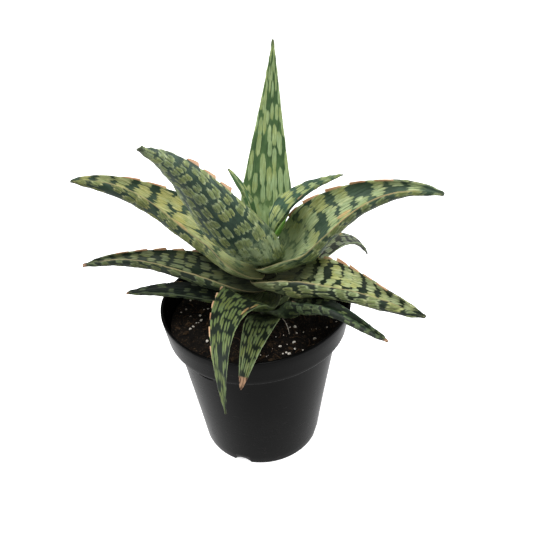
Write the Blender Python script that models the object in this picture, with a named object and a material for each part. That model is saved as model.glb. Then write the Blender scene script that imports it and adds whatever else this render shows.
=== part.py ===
# Potted spotted aloe: a rosette of fleshy, toothed leaves on a short stem, in a black nursery pot.
# The origin is the centre of the pot's underside, +Z is up, and the front of the plant faces -Y.
# The shapes are worked out in millimetres and become metres when a mesh is made.

import math

import bmesh
import bpy
import numpy as np
from mathutils import noise, Vector

MM = 0.001
GAP = 0.3

# Pot: thin moulded plastic with a deeper band round its rim
POT_HEIGHT = 98.0
POT_BASE_R = 36.5
POT_WALL_R = 46.4
POT_BAND_R = 50.7
POT_RIM_R = 53.0
POT_BAND = 17.0
POT_WALL = 1.2
POT_LIP = 1.8
POT_FLOOR = 2.0
POT_SIDES = 48
POT_OVAL = 0.05
POT_DENT = 0.022
SLOT_R = 5.5
SLOT_DEPTH = 1.5
SLOT_ANGLES = (70.0, 160.0, 250.0, 340.0)

# Soil and stem
SOIL_TOP = 85.0
SOIL_RELIEF = 1.3
SOIL_RINGS = 6
SOIL_SIDES = 40
STEM_X = 8.0
STEM_R = 5.0
STEM_FOOT = 62.0
STEM_TAPER = 128.0
STEM_TOP = 141.0
STEM_TIP_R = 1.5
STEM_SIDES = 20

# Leaves
EDGE = 0.8
SHEATH_RISE = 18.0
SHEATH_BLEND = 28.0
LEAF_SEAT = 0.45
NEST_GAP = 0.7
NEST_STEP = 0.5
NEST_REACH = 130.0
CORE_HEIGHT = 132.0
TIP_CLOSES = 0.65
TOOTH_LENGTH = 7.0
TOOTH_RAMP = 0.9

# One row for each leaf, from the youngest at the centre to the oldest at the foot of the stem:
# azimuth and its swing towards the tip, height on the stem, radius where the sheath turns up,
# slope at base, middle and tip, length, width, half angle of the channel, roll, thickness,
# taper, how far the sheath clasps the stem on either side, and the height and pitch of the teeth.
# Angles are in degrees and sizes in millimetres.
FIELDS = (
    "azimuth swing height cup rise_base rise_middle rise_tip length width channel roll "
    "thickness taper clasp_right clasp_left tooth pitch"
).split()
LEAVES = (
    (316, -3, 139.5, 3.2, 56, 60, 60, 26, 7.8, 52, 0, 1.8, 0.80, 30, 26, 0.0, 8),
    (179, -4, 138.5, 4.2, 88, 76, 53, 50, 11, 51, -15, 2.2, 0.75, 30, 30, 0.0, 8),
    (21, -9, 138.1, 4.2, 102, 34, 7, 61, 18.6, 44, 5, 3.0, 0.97, 35, 35, 0.6, 8),
    (81, -5, 135.5, 5.2, 83, 59, 77.5, 110.25, 32.5, 22, 9, 4.2, 1.03, 55, 55, 0.5, 11),
    (242, 20, 130.0, 8.0, 49, 52, 29, 166.25, 37.5, 46, 26, 5.2, 1.02, 105, 105, 1.6, 16),
    (345, -28, 128.5, 14.0, 46, 42, 1, 109.5, 46.5, 82, 36, 5.2, 1.06, 110, 75, 1.5, 13),
    (153, 60, 122.0, 12.0, 11, 36, 21.5, 116.25, 48.5, 72, -2, 5.2, 0.76, 80, 105, 1.3, 14),
    (311, 1, 119.2, 9.0, 26, 15, 12, 103.75, 41.5, 91, 5, 4.8, 0.80, 95, 95, 1.6, 10),
    (174, 16, 114.0, 9.0, -2, 17, -11, 99, 33.5, 88, -8, 4.4, 0.98, 90, 95, 1.4, 10),
    (92, 0, 110.0, 8.0, 22, 14, -8, 84, 22, 50, 0, 4.2, 0.90, 70, 70, 1.2, 11),
    (245, 37, 112.0, 8.0, 28, 13, -64, 115, 26.5, 8, -19, 4.0, 0.96, 70, 65, 1.3, 10),
    (41, 5, 103.0, 8.0, 32, -9, -66, 100, 21, 29, 22, 3.8, 0.91, 65, 65, 1.0, 10),
    (126, 0, 104.0, 8.0, 18, 10, -14, 62, 20, 50, 0, 4.0, 0.90, 60, 60, 1.0, 10),
    (180, -1, 102.0, 8.0, 6, 9, -10, 76.5, 18, 49, -13, 4.0, 0.74, 60, 60, 0.9, 10),
    (303, -9, 101.7, 8.0, 44, 21, 17.5, 108, 20, 86, -5, 3.8, 1.04, 60, 60, 1.0, 10),
    (62, 0, 98.0, 7.5, 20, 8, -16, 66, 19, 48, 0, 3.8, 0.88, 55, 55, 1.0, 10),
    (118, 0, 95.0, 7.0, 20, 9, -12, 60, 18, 46, 0, 3.6, 0.86, 50, 50, 0.9, 10),
    (256, 3, 93.5, 7.0, 30, 4, -16, 68, 19.5, 28, -13, 3.2, 0.72, 50, 50, 0.8, 9),
)
WIDE_ACROSS = 7
NARROW_ACROSS = 5
WIDE_FROM = 22.0


def smooth(t):
    """0 to 1 with a soft start and end."""
    t = np.clip(t, 0.0, 1.0)
    return t * t * (3.0 - 2.0 * t)


def through(first, middle, last, s):
    """The parabola with these values at 0, 0.5 and 1."""
    return (
        first * (1 - s) * (1 - 2 * s)
        + 4 * middle * s * (1 - s)
        + last * s * (2 * s - 1)
    )


def material(name, colour, roughness):
    made = bpy.data.materials.new(name)
    made.use_nodes = True
    shader = made.node_tree.nodes["Principled BSDF"]
    shader.inputs["Base Color"].default_value = (*colour, 1.0)
    shader.inputs["Roughness"].default_value = roughness
    shader.inputs["Metallic"].default_value = 0.0
    return made


def add_object(name, points, faces, look, smooth_angle=40.0):
    """A mesh object from points in millimetres."""
    mesh = bpy.data.meshes.new(name)
    mesh.from_pydata([tuple(float(v) * MM for v in p) for p in points], [], faces)
    mesh.validate()
    made = bpy.data.objects.new(name, mesh)
    bpy.context.scene.collection.objects.link(made)
    if look:
        mesh.materials.append(look)
    mesh.shade_smooth()
    mesh.set_sharp_from_angle(angle=math.radians(smooth_angle))
    return made


def cut(target, cutter):
    """Removes the cutter from the target, and keeps the cutter out of the model."""
    cutter.hide_render = True
    cutter.display_type = "WIRE"
    boolean = target.modifiers.new(cutter.name, "BOOLEAN")
    boolean.operation = "DIFFERENCE"
    boolean.solver = "EXACT"
    boolean.object = cutter


# Pot and soil share one outline, which is a little out of round at the rim
def out_of_round(radius, z, angle):
    share = smooth(z / POT_HEIGHT)
    return radius * (
        1.0
        + share * POT_OVAL * math.cos(2 * (angle - 0.05))
        + share * POT_DENT * math.cos(3 * (angle - 0.36))
    )


def turned(rings, sides):
    """Points and faces of a closed shape turned from (radius, z) rings, with a point at each end."""
    points = [(0.0, 0.0, rings[0][1])]
    for radius, z in rings:
        for k in range(sides):
            angle = 2 * math.pi * k / sides
            r = out_of_round(radius, z, angle)
            points.append((r * math.cos(angle), r * math.sin(angle), z))
    points.append((0.0, 0.0, rings[-1][1]))
    last = len(points) - 1
    faces = []
    for k in range(sides):
        after = (k + 1) % sides
        faces.append((0, 1 + after, 1 + k))
        for ring in range(len(rings) - 1):
            low = 1 + ring * sides
            high = low + sides
            faces.append((low + k, low + after, high + after, high + k))
        top = 1 + (len(rings) - 1) * sides
        faces.append((top + k, top + after, last))
    return points, faces


def wall_radius(z):
    """Outer radius of the plain wall under the band."""
    return POT_BASE_R + (POT_WALL_R - POT_BASE_R) * z / (POT_HEIGHT - POT_BAND)


def make_pot():
    band = POT_HEIGHT - POT_BAND
    rings = (
        (POT_BASE_R - 1.0, 0.0),
        (POT_BASE_R, 1.0),
        (wall_radius(band / 2), band / 2),
        (POT_WALL_R, band),
        (POT_BAND_R - 0.3, band),
        (POT_BAND_R, band + 0.6),
        (POT_RIM_R, POT_HEIGHT - 0.6),
        (POT_RIM_R - 0.5, POT_HEIGHT),
        (POT_RIM_R - POT_LIP, POT_HEIGHT),
        (POT_RIM_R - POT_LIP, POT_HEIGHT - 1.6),
        (POT_BAND_R - POT_WALL, band + 1.6),
        (POT_WALL_R - POT_WALL, band + 0.6),
        (wall_radius(POT_FLOOR) - POT_WALL, POT_FLOOR),
    )
    points, faces = turned(rings, POT_SIDES)
    pot = add_object("pot", points, faces, material("pot", (0.018, 0.018, 0.020), 0.38))
    cut(pot, make_drain_cutter())
    return pot


def make_drain_cutter():
    """One low arch for each drain slot in the bottom edge of the pot."""
    cutter = bmesh.new()
    middle = POT_BASE_R - 1.0
    for angle in SLOT_ANGLES:
        turn = math.radians(angle)
        made = bmesh.ops.create_cone(
            cutter, cap_ends=True, segments=16, radius1=SLOT_R, radius2=SLOT_R, depth=11.0
        )
        bmesh.ops.rotate(cutter, verts=made["verts"], matrix=rotation_to_radius(turn))
        bmesh.ops.translate(
            cutter,
            verts=made["verts"],
            vec=(middle * math.cos(turn), middle * math.sin(turn), -SLOT_DEPTH),
        )
    bmesh.ops.scale(cutter, verts=cutter.verts, vec=(MM, MM, MM))
    mesh = bpy.data.meshes.new("drain_cutter")
    cutter.to_mesh(mesh)
    cutter.free()
    made = bpy.data.objects.new("drain_cutter", mesh)
    bpy.context.scene.collection.objects.link(made)
    return made


def rotation_to_radius(turn):
    """Turns a cylinder that stands along Z so that it points outward at this angle."""
    outward = Vector((math.cos(turn), math.sin(turn), 0.0))
    return outward.to_track_quat("Z", "Y").to_matrix()


def soil_height(x, y):
    """Crumbly surface, a little higher round the stem."""
    lumps = noise.noise(Vector((x / 9.0, y / 9.0, 2.0))) + 0.6 * noise.noise(
        Vector((x / 4.0, y / 4.0, 7.0))
    )
    mound = math.exp(-((x - STEM_X) ** 2 + y**2) / 500.0)
    return SOIL_TOP + SOIL_RELIEF * (lumps + mound)


def make_soil():
    band = POT_HEIGHT - POT_BAND
    side = (
        (wall_radius(POT_FLOOR) - POT_WALL - 0.6, POT_FLOOR + GAP),
        (wall_radius(POT_FLOOR + 1.0) - POT_WALL - GAP, POT_FLOOR + 1.0),
        (POT_WALL_R - POT_WALL - GAP - 0.1, band + 0.6),
        (POT_BAND_R - POT_WALL - 0.9, SOIL_TOP - 2.0),
    )
    outer = side[-1][0]
    tops = tuple((outer * k / SOIL_RINGS, SOIL_TOP) for k in range(SOIL_RINGS, 0, -1))
    points, faces = turned(side + tops, SOIL_SIDES)
    first_top = 1 + len(side) * SOIL_SIDES
    raised = [
        (x, y, soil_height(x, y)) if index >= first_top else (x, y, z)
        for index, (x, y, z) in enumerate(points)
    ]
    soil = add_object("soil", raised, faces, material("soil", (0.022, 0.015, 0.010), 0.95))
    hole = round_bar("stem_hole", ((STEM_R + GAP, STEM_FOOT - GAP), (STEM_R + GAP, 110.0)))
    cut(soil, hole)
    return soil


def round_bar(name, rings, look=None):
    """An upright round bar on the stem's axis, from (radius, z) rings."""
    angles = [2 * math.pi * k / STEM_SIDES for k in range(STEM_SIDES)]
    points = [
        (STEM_X + r * math.cos(a), r * math.sin(a), z) for r, z in rings for a in angles
    ]
    count = STEM_SIDES
    faces = [tuple(reversed(range(count)))]
    for ring in range(len(rings) - 1):
        low = ring * count
        for k in range(count):
            after = (k + 1) % count
            faces.append((low + k, low + after, low + count + after, low + count + k))
    faces.append(tuple(range((len(rings) - 1) * count, len(rings) * count)))
    return add_object(name, points, faces, look)


def stem_radius(z):
    return STEM_R + (STEM_TIP_R - STEM_R) * smooth((z - STEM_TAPER) / (STEM_TOP - STEM_TAPER))


def make_stem():
    heights = (STEM_FOOT, STEM_TAPER, 132.0, 136.0, STEM_TOP)
    rings = tuple((float(stem_radius(z)), z) for z in heights)
    return round_bar("stem", rings, material("stem", (0.16, 0.17, 0.07), 0.6))


# Leaves
def seat_radius(leaf):
    return float(stem_radius(leaf["height"])) + LEAF_SEAT


def midline(leaf, along):
    """Points, slope and azimuth of the leaf's middle line at these distances from its base."""
    walk = np.linspace(0.0, leaf["length"], 240)
    share = walk / leaf["length"]
    turn = 1.4 * max(leaf["cup"] - seat_radius(leaf), 0.5)
    rise = through(leaf["rise_base"], leaf["rise_middle"], leaf["rise_tip"], share)
    slope = np.radians(SHEATH_RISE + (rise - SHEATH_RISE) * smooth(walk / turn))
    azimuth = np.radians(leaf["azimuth"] + leaf["swing"] * share**1.5)
    heading = np.stack(
        [np.cos(slope) * np.cos(azimuth), np.cos(slope) * np.sin(azimuth), np.sin(slope)], -1
    )
    start = math.radians(leaf["azimuth"])
    seat = seat_radius(leaf)
    points = np.empty((len(walk), 3))
    points[0] = (STEM_X + seat * math.cos(start), seat * math.sin(start), leaf["height"])
    points[1:] = points[0] + np.cumsum((heading[1:] + heading[:-1]) / 2 * walk[1], axis=0)
    places = np.stack([np.interp(along, walk, points[:, axis]) for axis in range(3)], -1)
    return places, np.interp(along, walk, slope), np.interp(along, walk, azimuth)


def leaf_width(leaf, share):
    """Widest just above the sheath, then a long taper to the tip."""
    widest = 0.14
    taper = (1.0 - np.clip((share - widest) / (1.0 - widest), 0.0, 1.0)) ** leaf["taper"]
    sheath = 0.9 + 0.1 * smooth(share / widest)
    return leaf["width"] * np.maximum(np.where(share < widest, sheath, taper), 0.035)


def leaf_thickness(leaf, along, share):
    swell = 0.2 + 0.8 * smooth(along / 24.0)
    return leaf["thickness"] * swell * (1.0 - 0.72 * share)


def leaf_faces(leaf, along, across, teeth=None):
    """Grids of points on the leaf's inner and outer face, before it settles under its neighbours.

    At its base the leaf lies round the stem as a cup, and further out it is a free channel. across
    runs from -1 at one margin to 1 at the other."""
    share = along / leaf["length"]
    middle, slope, azimuth = midline(leaf, along)
    forward = np.stack(
        [np.cos(slope) * np.cos(azimuth), np.cos(slope) * np.sin(azimuth), np.sin(slope)], -1
    )
    side = np.stack([-np.sin(azimuth), np.cos(azimuth), 0 * azimuth], -1)
    inward = np.cross(forward, side)
    roll = np.radians(leaf["roll"]) * smooth(share * 3)
    side, inward = (
        side * np.cos(roll)[:, None] + inward * np.sin(roll)[:, None],
        inward * np.cos(roll)[:, None] - side * np.sin(roll)[:, None],
    )
    width = leaf_width(leaf, share)[:, None]
    half = np.repeat(width / 2, len(across), axis=1)
    if teeth is not None:
        half = half + teeth[:, None] * (np.abs(across) > 0.999)
    lateral = half * across

    closing = TIP_CLOSES * smooth((share[:, None] - 0.4) / 0.5)
    bend = np.radians(leaf["channel"]) * (0.6 + 0.4 * width / leaf["width"] + closing)
    turned_by = bend * lateral / (width / 2)
    radius = width / 2 / bend
    free = (
        middle[:, None]
        + side[:, None] * (radius * np.sin(turned_by))[..., None]
        + inward[:, None] * (radius * (1 - np.cos(turned_by)))[..., None]
    )
    free_out = (
        side[:, None] * np.sin(turned_by)[..., None]
        - inward[:, None] * np.cos(turned_by)[..., None]
    )

    reach = middle - (STEM_X, 0.0, 0.0)
    distance = np.hypot(reach[:, 0], reach[:, 1])[:, None]
    clasp = np.where(across < 0, leaf["clasp_right"], leaf["clasp_left"])
    limit = np.radians(clasp) * np.abs(across)
    round_stem = np.arctan2(reach[:, 1], reach[:, 0])[:, None] + np.clip(
        lateral / distance, -limit, limit
    )
    cup = np.stack(
        [
            STEM_X + distance * np.cos(round_stem),
            distance * np.sin(round_stem),
            np.repeat(middle[:, 2:], len(across), axis=1),
        ],
        -1,
    )
    cup_out = np.stack(
        [
            np.sin(slope)[:, None] * np.cos(round_stem),
            np.sin(slope)[:, None] * np.sin(round_stem),
            np.repeat(-np.cos(slope)[:, None], len(across), axis=1),
        ],
        -1,
    )

    freed = smooth((along - 4.0) / SHEATH_BLEND)[:, None, None]
    inner = cup * (1 - freed) + free * freed
    out = cup_out * (1 - freed) + free_out * freed
    out /= np.linalg.norm(out, axis=-1, keepdims=True)
    belly = (1 - np.abs(across) ** 2.2) ** 0.8
    depth = EDGE + leaf_thickness(leaf, along, share)[:, None] * belly
    return inner, inner + out * depth[..., None]


class Nest:
    """The lowest surface of the leaves placed so far, as heights over a square grid.

    Leaves grow from the centre outward, so each older leaf lies below the younger ones."""

    def __init__(self):
        cells = int(2 * NEST_REACH / NEST_STEP) + 1
        self.ceiling = np.full((cells, cells), 1000.0)

    def cell(self, points):
        place = (points[..., :2] + NEST_REACH) / NEST_STEP
        return np.clip(np.rint(place).astype(int), 1, len(self.ceiling) - 2)

    def above(self, points):
        """Height of the lowest leaf over each point, or over the cells beside it."""
        at = self.cell(points)
        found = np.full(at.shape[:-1], 1000.0)
        for dx in (-1, 0, 1):
            for dy in (-1, 0, 1):
                found = np.minimum(found, self.ceiling[at[..., 0] + dx, at[..., 1] + dy])
        return found

    def add(self, points):
        at = self.cell(points).reshape(-1, 2)
        np.minimum.at(self.ceiling, (at[:, 0], at[:, 1]), points[..., 2].ravel())


def settle(leaf, nest):
    """How far the leaf bends down along its length to lie clear below the younger leaves."""
    along = np.arange(0.0, leaf["length"] + 0.2, 0.4)
    across = np.linspace(-1.0, 1.0, 81)
    inner, outer = leaf_faces(leaf, along, across)
    if leaf["height"] > CORE_HEIGHT:
        nest.add(outer)
        return along, 0.0 * along
    need = np.max(inner[..., 2] - nest.above(inner) + NEST_GAP, axis=1)
    need = np.maximum(need, np.max(outer[..., 2] - nest.above(outer) + NEST_GAP, axis=1))
    need = np.maximum(need, 0.0)
    drop = need
    blur = np.hanning(41)
    blur /= blur.sum()
    for _ in range(4):
        padded = np.pad(drop, 20, mode="edge")
        drop = np.maximum(need, np.convolve(padded, blur, mode="valid"))
    widened = np.array([drop[max(0, k - 8) : k + 9].max() for k in range(len(drop))])
    drop = np.convolve(np.pad(widened, 8, mode="edge"), np.ones(17) / 17, mode="valid")
    outer[..., 2] -= drop[:, None]
    inner[..., 2] -= drop[:, None]
    nest.add(outer)
    nest.add(inner)
    return along, drop


def stations(leaf):
    """Distances along the leaf where it has a ring of points, and the tooth height at each."""
    length = leaf["length"]
    rings = [(0.0, 0.0), (2.5, 0.0), (5.5, 0.0), (9.0, 0.0), (13.0, 0.0), (18.0, 0.0)]
    if length < 60:
        rings = [(0.0, 0.0), (3.0, 0.0), (7.0, 0.0), (0.3 * length, 0.0)]
    start = max(24.0, 0.2 * length)
    size = TOOTH_LENGTH * leaf["pitch"] / 11.0
    while leaf["tooth"] > 0 and start + leaf["pitch"] < 0.86 * length:
        fade = 1.0 - 0.6 * smooth((start / length - 0.55) / 0.35)
        for step, height in ((0.0, 0.0), (TOOTH_RAMP, 1.0), (size - TOOTH_RAMP, 0.8), (size, 0.0)):
            rings.append((start + step, height * fade * leaf["tooth"]))
        start += leaf["pitch"]
    last = rings[-1][0]
    if leaf["tooth"] == 0:
        rings += [(length * share, 0.0) for share in (0.45, 0.6, 0.75)]
        last = length * 0.75
    rings += [(last + (length - last) * share, 0.0) for share in (0.4, 0.75, 0.93, 1.0)]
    return np.array([r[0] for r in rings]), np.array([r[1] for r in rings])


def make_leaf(name, leaf, nest, look):
    along, teeth = stations(leaf)
    count = WIDE_ACROSS if leaf["width"] > WIDE_FROM else NARROW_ACROSS
    across = np.linspace(-1.0, 1.0, count)
    inner, outer = leaf_faces(leaf, along, across, teeth)
    walk, drop = settle(leaf, nest)
    lower = np.interp(along, walk, drop)[:, None]
    inner[..., 2] -= lower
    outer[..., 2] -= lower

    # Each ring runs along the inner face and back along the outer one.
    rings = np.concatenate([inner, outer[:, ::-1]], axis=1)
    around = rings.shape[1]
    faces = []
    for ring in range(len(along) - 1):
        low = ring * around
        high = low + around
        for k in range(around):
            after = (k + 1) % around
            # The same diagonal on both faces, so that a thin twisted stretch never crosses itself
            if k < count:
                faces.append((low + k, high + k, low + after))
                faces.append((low + after, high + k, high + after))
            else:
                faces.append((low + k, high + after, low + after))
                faces.append((low + k, high + k, high + after))
    end = (len(along) - 1) * around
    for k in range(count - 1):
        opposite = around - 1 - k
        faces.append((k, k + 1, opposite - 1, opposite))
        faces.append((end + k, end + opposite, end + opposite - 1, end + k + 1))
    return add_object(name, rings.reshape(-1, 3), faces, look, smooth_angle=50.0)


def main():
    for obj in list(bpy.data.objects):
        bpy.data.objects.remove(obj)
    make_pot()
    make_soil()
    make_stem()
    nest = Nest()
    for number, row in enumerate(LEAVES, start=1):
        leaf = dict(zip(FIELDS, row))
        green = 0.13 - 0.004 * number
        look = material(f"leaf_{number:02d}", (0.55 * green, green, 0.42 * green), 0.5)
        make_leaf(f"leaf_{number:02d}", leaf, nest, look)


main()
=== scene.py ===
# %% [markdown]
# A potted spotted aloe, dressed for a portrait. The frame brings in the plain solids: a pot, a block
# of soil, a stem and eighteen leaves. This script keeps every one of those forms where it is and
# gives it the surface of the real thing: finer leaves with raised pale spots and horny teeth, a
# moulded plastic pot, and crumbly potting mix. All lengths are worked out in millimetres, because
# that is how a plant is measured, and become metres only when a mesh is made.

import math

import bmesh
import bpy
import numpy as np
from mathutils import Matrix, Vector, noise


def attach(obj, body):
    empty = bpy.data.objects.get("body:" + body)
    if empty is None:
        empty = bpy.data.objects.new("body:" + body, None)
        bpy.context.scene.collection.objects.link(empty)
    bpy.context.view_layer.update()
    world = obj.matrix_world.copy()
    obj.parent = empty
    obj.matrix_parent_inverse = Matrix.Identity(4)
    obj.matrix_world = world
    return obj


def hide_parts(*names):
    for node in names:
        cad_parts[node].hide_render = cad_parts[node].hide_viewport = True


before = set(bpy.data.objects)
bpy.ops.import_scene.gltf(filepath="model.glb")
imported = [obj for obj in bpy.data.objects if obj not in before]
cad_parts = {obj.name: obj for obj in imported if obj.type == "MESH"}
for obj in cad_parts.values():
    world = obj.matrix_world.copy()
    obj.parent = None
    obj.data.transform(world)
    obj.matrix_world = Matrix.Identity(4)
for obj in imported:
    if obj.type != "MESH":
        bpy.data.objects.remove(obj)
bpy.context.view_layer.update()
MM = 0.001

# %% [markdown]
# The camera comes first, because every later choice is judged through it. The photograph looks down
# on the plant by about thirty-six degrees from roughly 0.38 m away, and it is tilted a little to one
# side. The position and turn were solved from the pot's rim and foot, so they are plain numbers.

# %% Camera
# The place and the near limit are in metres, the lens and the sensor in millimetres.
CAMERA_TILT = math.radians(35.566)
CAMERA_ROLL = math.radians(-2.912)
CAMERA_PLACE = (0.00792, -0.312607, 0.347084)
CAMERA_LENS = 46.375
CAMERA_SENSOR = 36.0
CAMERA_NEAR = 0.01


def make_camera():
    lens = bpy.data.cameras.new("camera")
    lens.lens = CAMERA_LENS
    lens.sensor_width = CAMERA_SENSOR
    lens.clip_start = CAMERA_NEAR
    made = bpy.data.objects.new("camera", lens)
    bpy.context.scene.collection.objects.link(made)
    right = Vector((1.0, 0.0, 0.0))
    up = Vector((0.0, math.sin(CAMERA_TILT), math.cos(CAMERA_TILT)))
    ahead = Vector((0.0, math.cos(CAMERA_TILT), -math.sin(CAMERA_TILT)))
    x = right * math.cos(CAMERA_ROLL) + up * math.sin(CAMERA_ROLL)
    y = up * math.cos(CAMERA_ROLL) - right * math.sin(CAMERA_ROLL)
    turn = Matrix((x, y, -ahead)).transposed().to_4x4()
    made.matrix_world = Matrix.Translation(CAMERA_PLACE) @ turn
    bpy.context.scene.camera = made


make_camera()
bpy.context.scene.view_settings.view_transform = "Standard"
print("camera:", tuple(round(v, 3) for v in bpy.context.scene.camera.location))

# %% [markdown]
# A product picture is taken on a sheet of pale board that runs out of the picture on every side and
# nearly burns out. Light thrown back by a real white sheet would also fill every hollow of the plant
# from below, and the photograph's hollows are almost black. So the board looks white to the camera
# but bounces light like a mid grey one: a Light Path node tells the two apart. Mirrored in the pot,
# the board is pale again, and that draws the grey gleams on the flanks of the black plastic.

# %% Table
FLOOR_HALF = 4.0
FLOOR_ROUGHNESS = 0.9
FLOOR_SEEN = 0.90
FLOOR_BOUNCE = 0.30
FLOOR_MIRRORED = 0.70
FLOOR_GLOW = 0.62


def plain_material(name, colour, roughness):
    """A material with one Principled shader, and the shader itself."""
    made = bpy.data.materials.new(name)
    made.use_nodes = True
    shader = made.node_tree.nodes["Principled BSDF"]
    shader.inputs["Base Color"].default_value = (*colour, 1.0)
    shader.inputs["Roughness"].default_value = roughness
    return made, shader


def floor_material():
    look, shader = plain_material("floor_board", (FLOOR_SEEN,) * 3, FLOOR_ROUGHNESS)
    tree = look.node_tree
    path = tree.nodes.new("ShaderNodeLightPath").outputs

    def seen_or_not(unseen, seen):
        step = tree.nodes.new("ShaderNodeMapRange")
        step.inputs["To Min"].default_value = unseen
        step.inputs["To Max"].default_value = seen
        tree.links.new(path["Is Camera Ray"], step.inputs["Value"])
        return step.outputs["Result"]

    glow = tree.nodes.new("ShaderNodeMath")
    glow.operation = "MULTIPLY_ADD"
    tree.links.new(path["Is Glossy Ray"], glow.inputs[0])
    glow.inputs[1].default_value = FLOOR_MIRRORED
    tree.links.new(seen_or_not(0.0, FLOOR_GLOW), glow.inputs[2])
    tree.links.new(glow.outputs[0], shader.inputs["Emission Strength"])
    tree.links.new(seen_or_not(FLOOR_BOUNCE, FLOOR_SEEN), shader.inputs["Base Color"])
    shader.inputs["Emission Color"].default_value = (1.0, 1.0, 1.0, 1.0)
    shader.inputs["Specular IOR Level"].default_value = 0.0
    return look


def make_floor():
    mesh = bpy.data.meshes.new("floor")
    h = FLOOR_HALF
    mesh.from_pydata([(-h, -h, 0), (h, -h, 0), (h, h, 0), (-h, h, 0)], [], [(0, 1, 2, 3)])
    mesh.materials.append(floor_material())
    made = bpy.data.objects.new("floor", mesh)
    bpy.context.scene.collection.objects.link(made)


make_floor()
print("floor:", 2 * FLOOR_HALF, "m wide")

# %% [markdown]
# The light is a large soft lamp above and a little to the left, a weaker one beside the camera, and a
# tall panel on either side, whose reflections draw the soft grey gleams down the left and right of
# the pot. The surround stays dim, so that the front of the pot has little to reflect.

# %% Light
SURROUND_STRENGTH = 0.34
LAMPS = (
    # name, place, aimed at, size, watts
    ("lamp_above", (-0.15, -0.20, 1.10), (0.0, 0.0, 0.1), 0.8, 12.5),
    ("lamp_front", (0.45, -1.00, 0.90), (0.0, 0.0, 0.1), 0.6, 4.0),
    ("panel_left", (-0.95, 0.05, 0.30), (0.0, 0.0, 0.05), 0.7, 9.0),
    ("panel_right", (0.95, 0.05, 0.30), (0.0, 0.0, 0.05), 0.7, 9.0),
)


def make_lamp(name, place, target, size, watts):
    lamp = bpy.data.lights.new(name, "AREA")
    lamp.shape = "DISK"
    lamp.size = size
    lamp.energy = watts
    made = bpy.data.objects.new(name, lamp)
    made.location = place
    made.rotation_euler = (Vector(target) - Vector(place)).to_track_quat("-Z", "Y").to_euler()
    bpy.context.scene.collection.objects.link(made)


def make_surround():
    world = bpy.data.worlds.new("surround")
    bpy.context.scene.world = world
    world.use_nodes = True
    background = world.node_tree.nodes["Background"]
    background.inputs["Color"].default_value = (1.0, 1.0, 1.0, 1.0)
    background.inputs["Strength"].default_value = SURROUND_STRENGTH


for lamp_row in LAMPS:
    make_lamp(*lamp_row)
make_surround()
print("lamps:", [row[0] for row in LAMPS])

# %% [markdown]
# Every piece ends up as a mesh from an array of points, so that step is written once. Attributes
# carry what each point knows about itself, such as how deep inside a spot it lies, and the materials
# read them by name. Measured that way, a marking stays sharp between the points.

# %% Mesh helper
def smooth(t):
    """0 to 1 with a soft start and end."""
    t = np.clip(t, 0.0, 1.0)
    return t * t * (3.0 - 2.0 * t)


def mesh_object(name, points, faces, look, facts=None, sharp_angle=None):
    """A smooth object that rides on the pot, from points in millimetres and per-point facts."""
    mesh = bpy.data.meshes.new(name)
    points = np.asarray(points, dtype=float)
    mesh.from_pydata((points * MM).tolist(), [], [tuple(map(int, f)) for f in faces])
    for fact_name, values in (facts or {}).items():
        values = np.asarray(values, dtype=np.float32)
        kind, key = ("FLOAT_VECTOR", "vector") if values.ndim == 2 else ("FLOAT", "value")
        layer = mesh.attributes.new(fact_name, kind, "POINT")
        layer.data.foreach_set(key, values.ravel())
    mesh.validate()
    mesh.shade_smooth()
    if sharp_angle:
        mesh.set_sharp_from_angle(angle=math.radians(sharp_angle))
    mesh.materials.append(look)
    made = bpy.data.objects.new(name, mesh)
    bpy.context.scene.collection.objects.link(made)
    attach(made, "root")
    return made


print("a soft step at a quarter of its way:", float(smooth(0.25)))

# %% [markdown]
# Node trees are easier to read as sentences than as wiring, so a few helpers add a node and connect
# it in one line. Each takes outputs of other nodes or plain numbers.

# %% Node helpers
def link(tree, value, socket):
    """Connects an output, or sets a plain value."""
    if isinstance(value, bpy.types.NodeSocket):
        tree.links.new(value, socket)
    elif value is not None:
        socket.default_value = value


def math_node(tree, operation, *values):
    node = tree.nodes.new("ShaderNodeMath")
    node.operation = operation
    for value, socket in zip(values, node.inputs):
        link(tree, value, socket)
    return node.outputs[0]


def times(tree, first, second):
    return math_node(tree, "MULTIPLY", first, second)


def times_plus(tree, value, factor, added):
    return math_node(tree, "MULTIPLY_ADD", value, factor, added)


def ramp(tree, value, low, high, to_low=0.0, to_high=1.0):
    """A soft step from to_low to to_high while the value goes from low to high."""
    node = tree.nodes.new("ShaderNodeMapRange")
    node.interpolation_type = "SMOOTHSTEP"
    for socket, number in zip(node.inputs[:5], (value, low, high, to_low, to_high)):
        link(tree, number, socket)
    return node.outputs[0]


print("number helpers: math_node, times, times_plus, ramp")

# %% [markdown]
# Colours are mixed by a mask, and most masks come from noise. Noise is read at a place on the surface,
# and stretching that place first makes grain, rings or veins out of round lumps.

# %% Colour and noise helpers
def mix_colour(tree, share, first, second, blend="MIX"):
    """Colours are given as sockets or as (red, green, blue)."""
    node = tree.nodes.new("ShaderNodeMix")
    node.data_type = "RGBA"
    node.blend_type = blend
    link(tree, share, node.inputs["Factor"])
    ends = [socket for socket in node.inputs if socket.type == "RGBA"]
    for value, socket in zip((first, second), ends):
        link(tree, (*value, 1.0) if isinstance(value, tuple) else value, socket)
    return next(socket for socket in node.outputs if socket.type == "RGBA")


def tinted(tree, colour, tint):
    return mix_colour(tree, 1.0, colour, tint, "MULTIPLY")


def noise_node(tree, place, scale, detail, roughness=0.5):
    node = tree.nodes.new("ShaderNodeTexNoise")
    link(tree, place, node.inputs["Vector"])
    node.inputs["Scale"].default_value = scale
    node.inputs["Detail"].default_value = detail
    node.inputs["Roughness"].default_value = roughness
    return node.outputs["Fac"]


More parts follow.
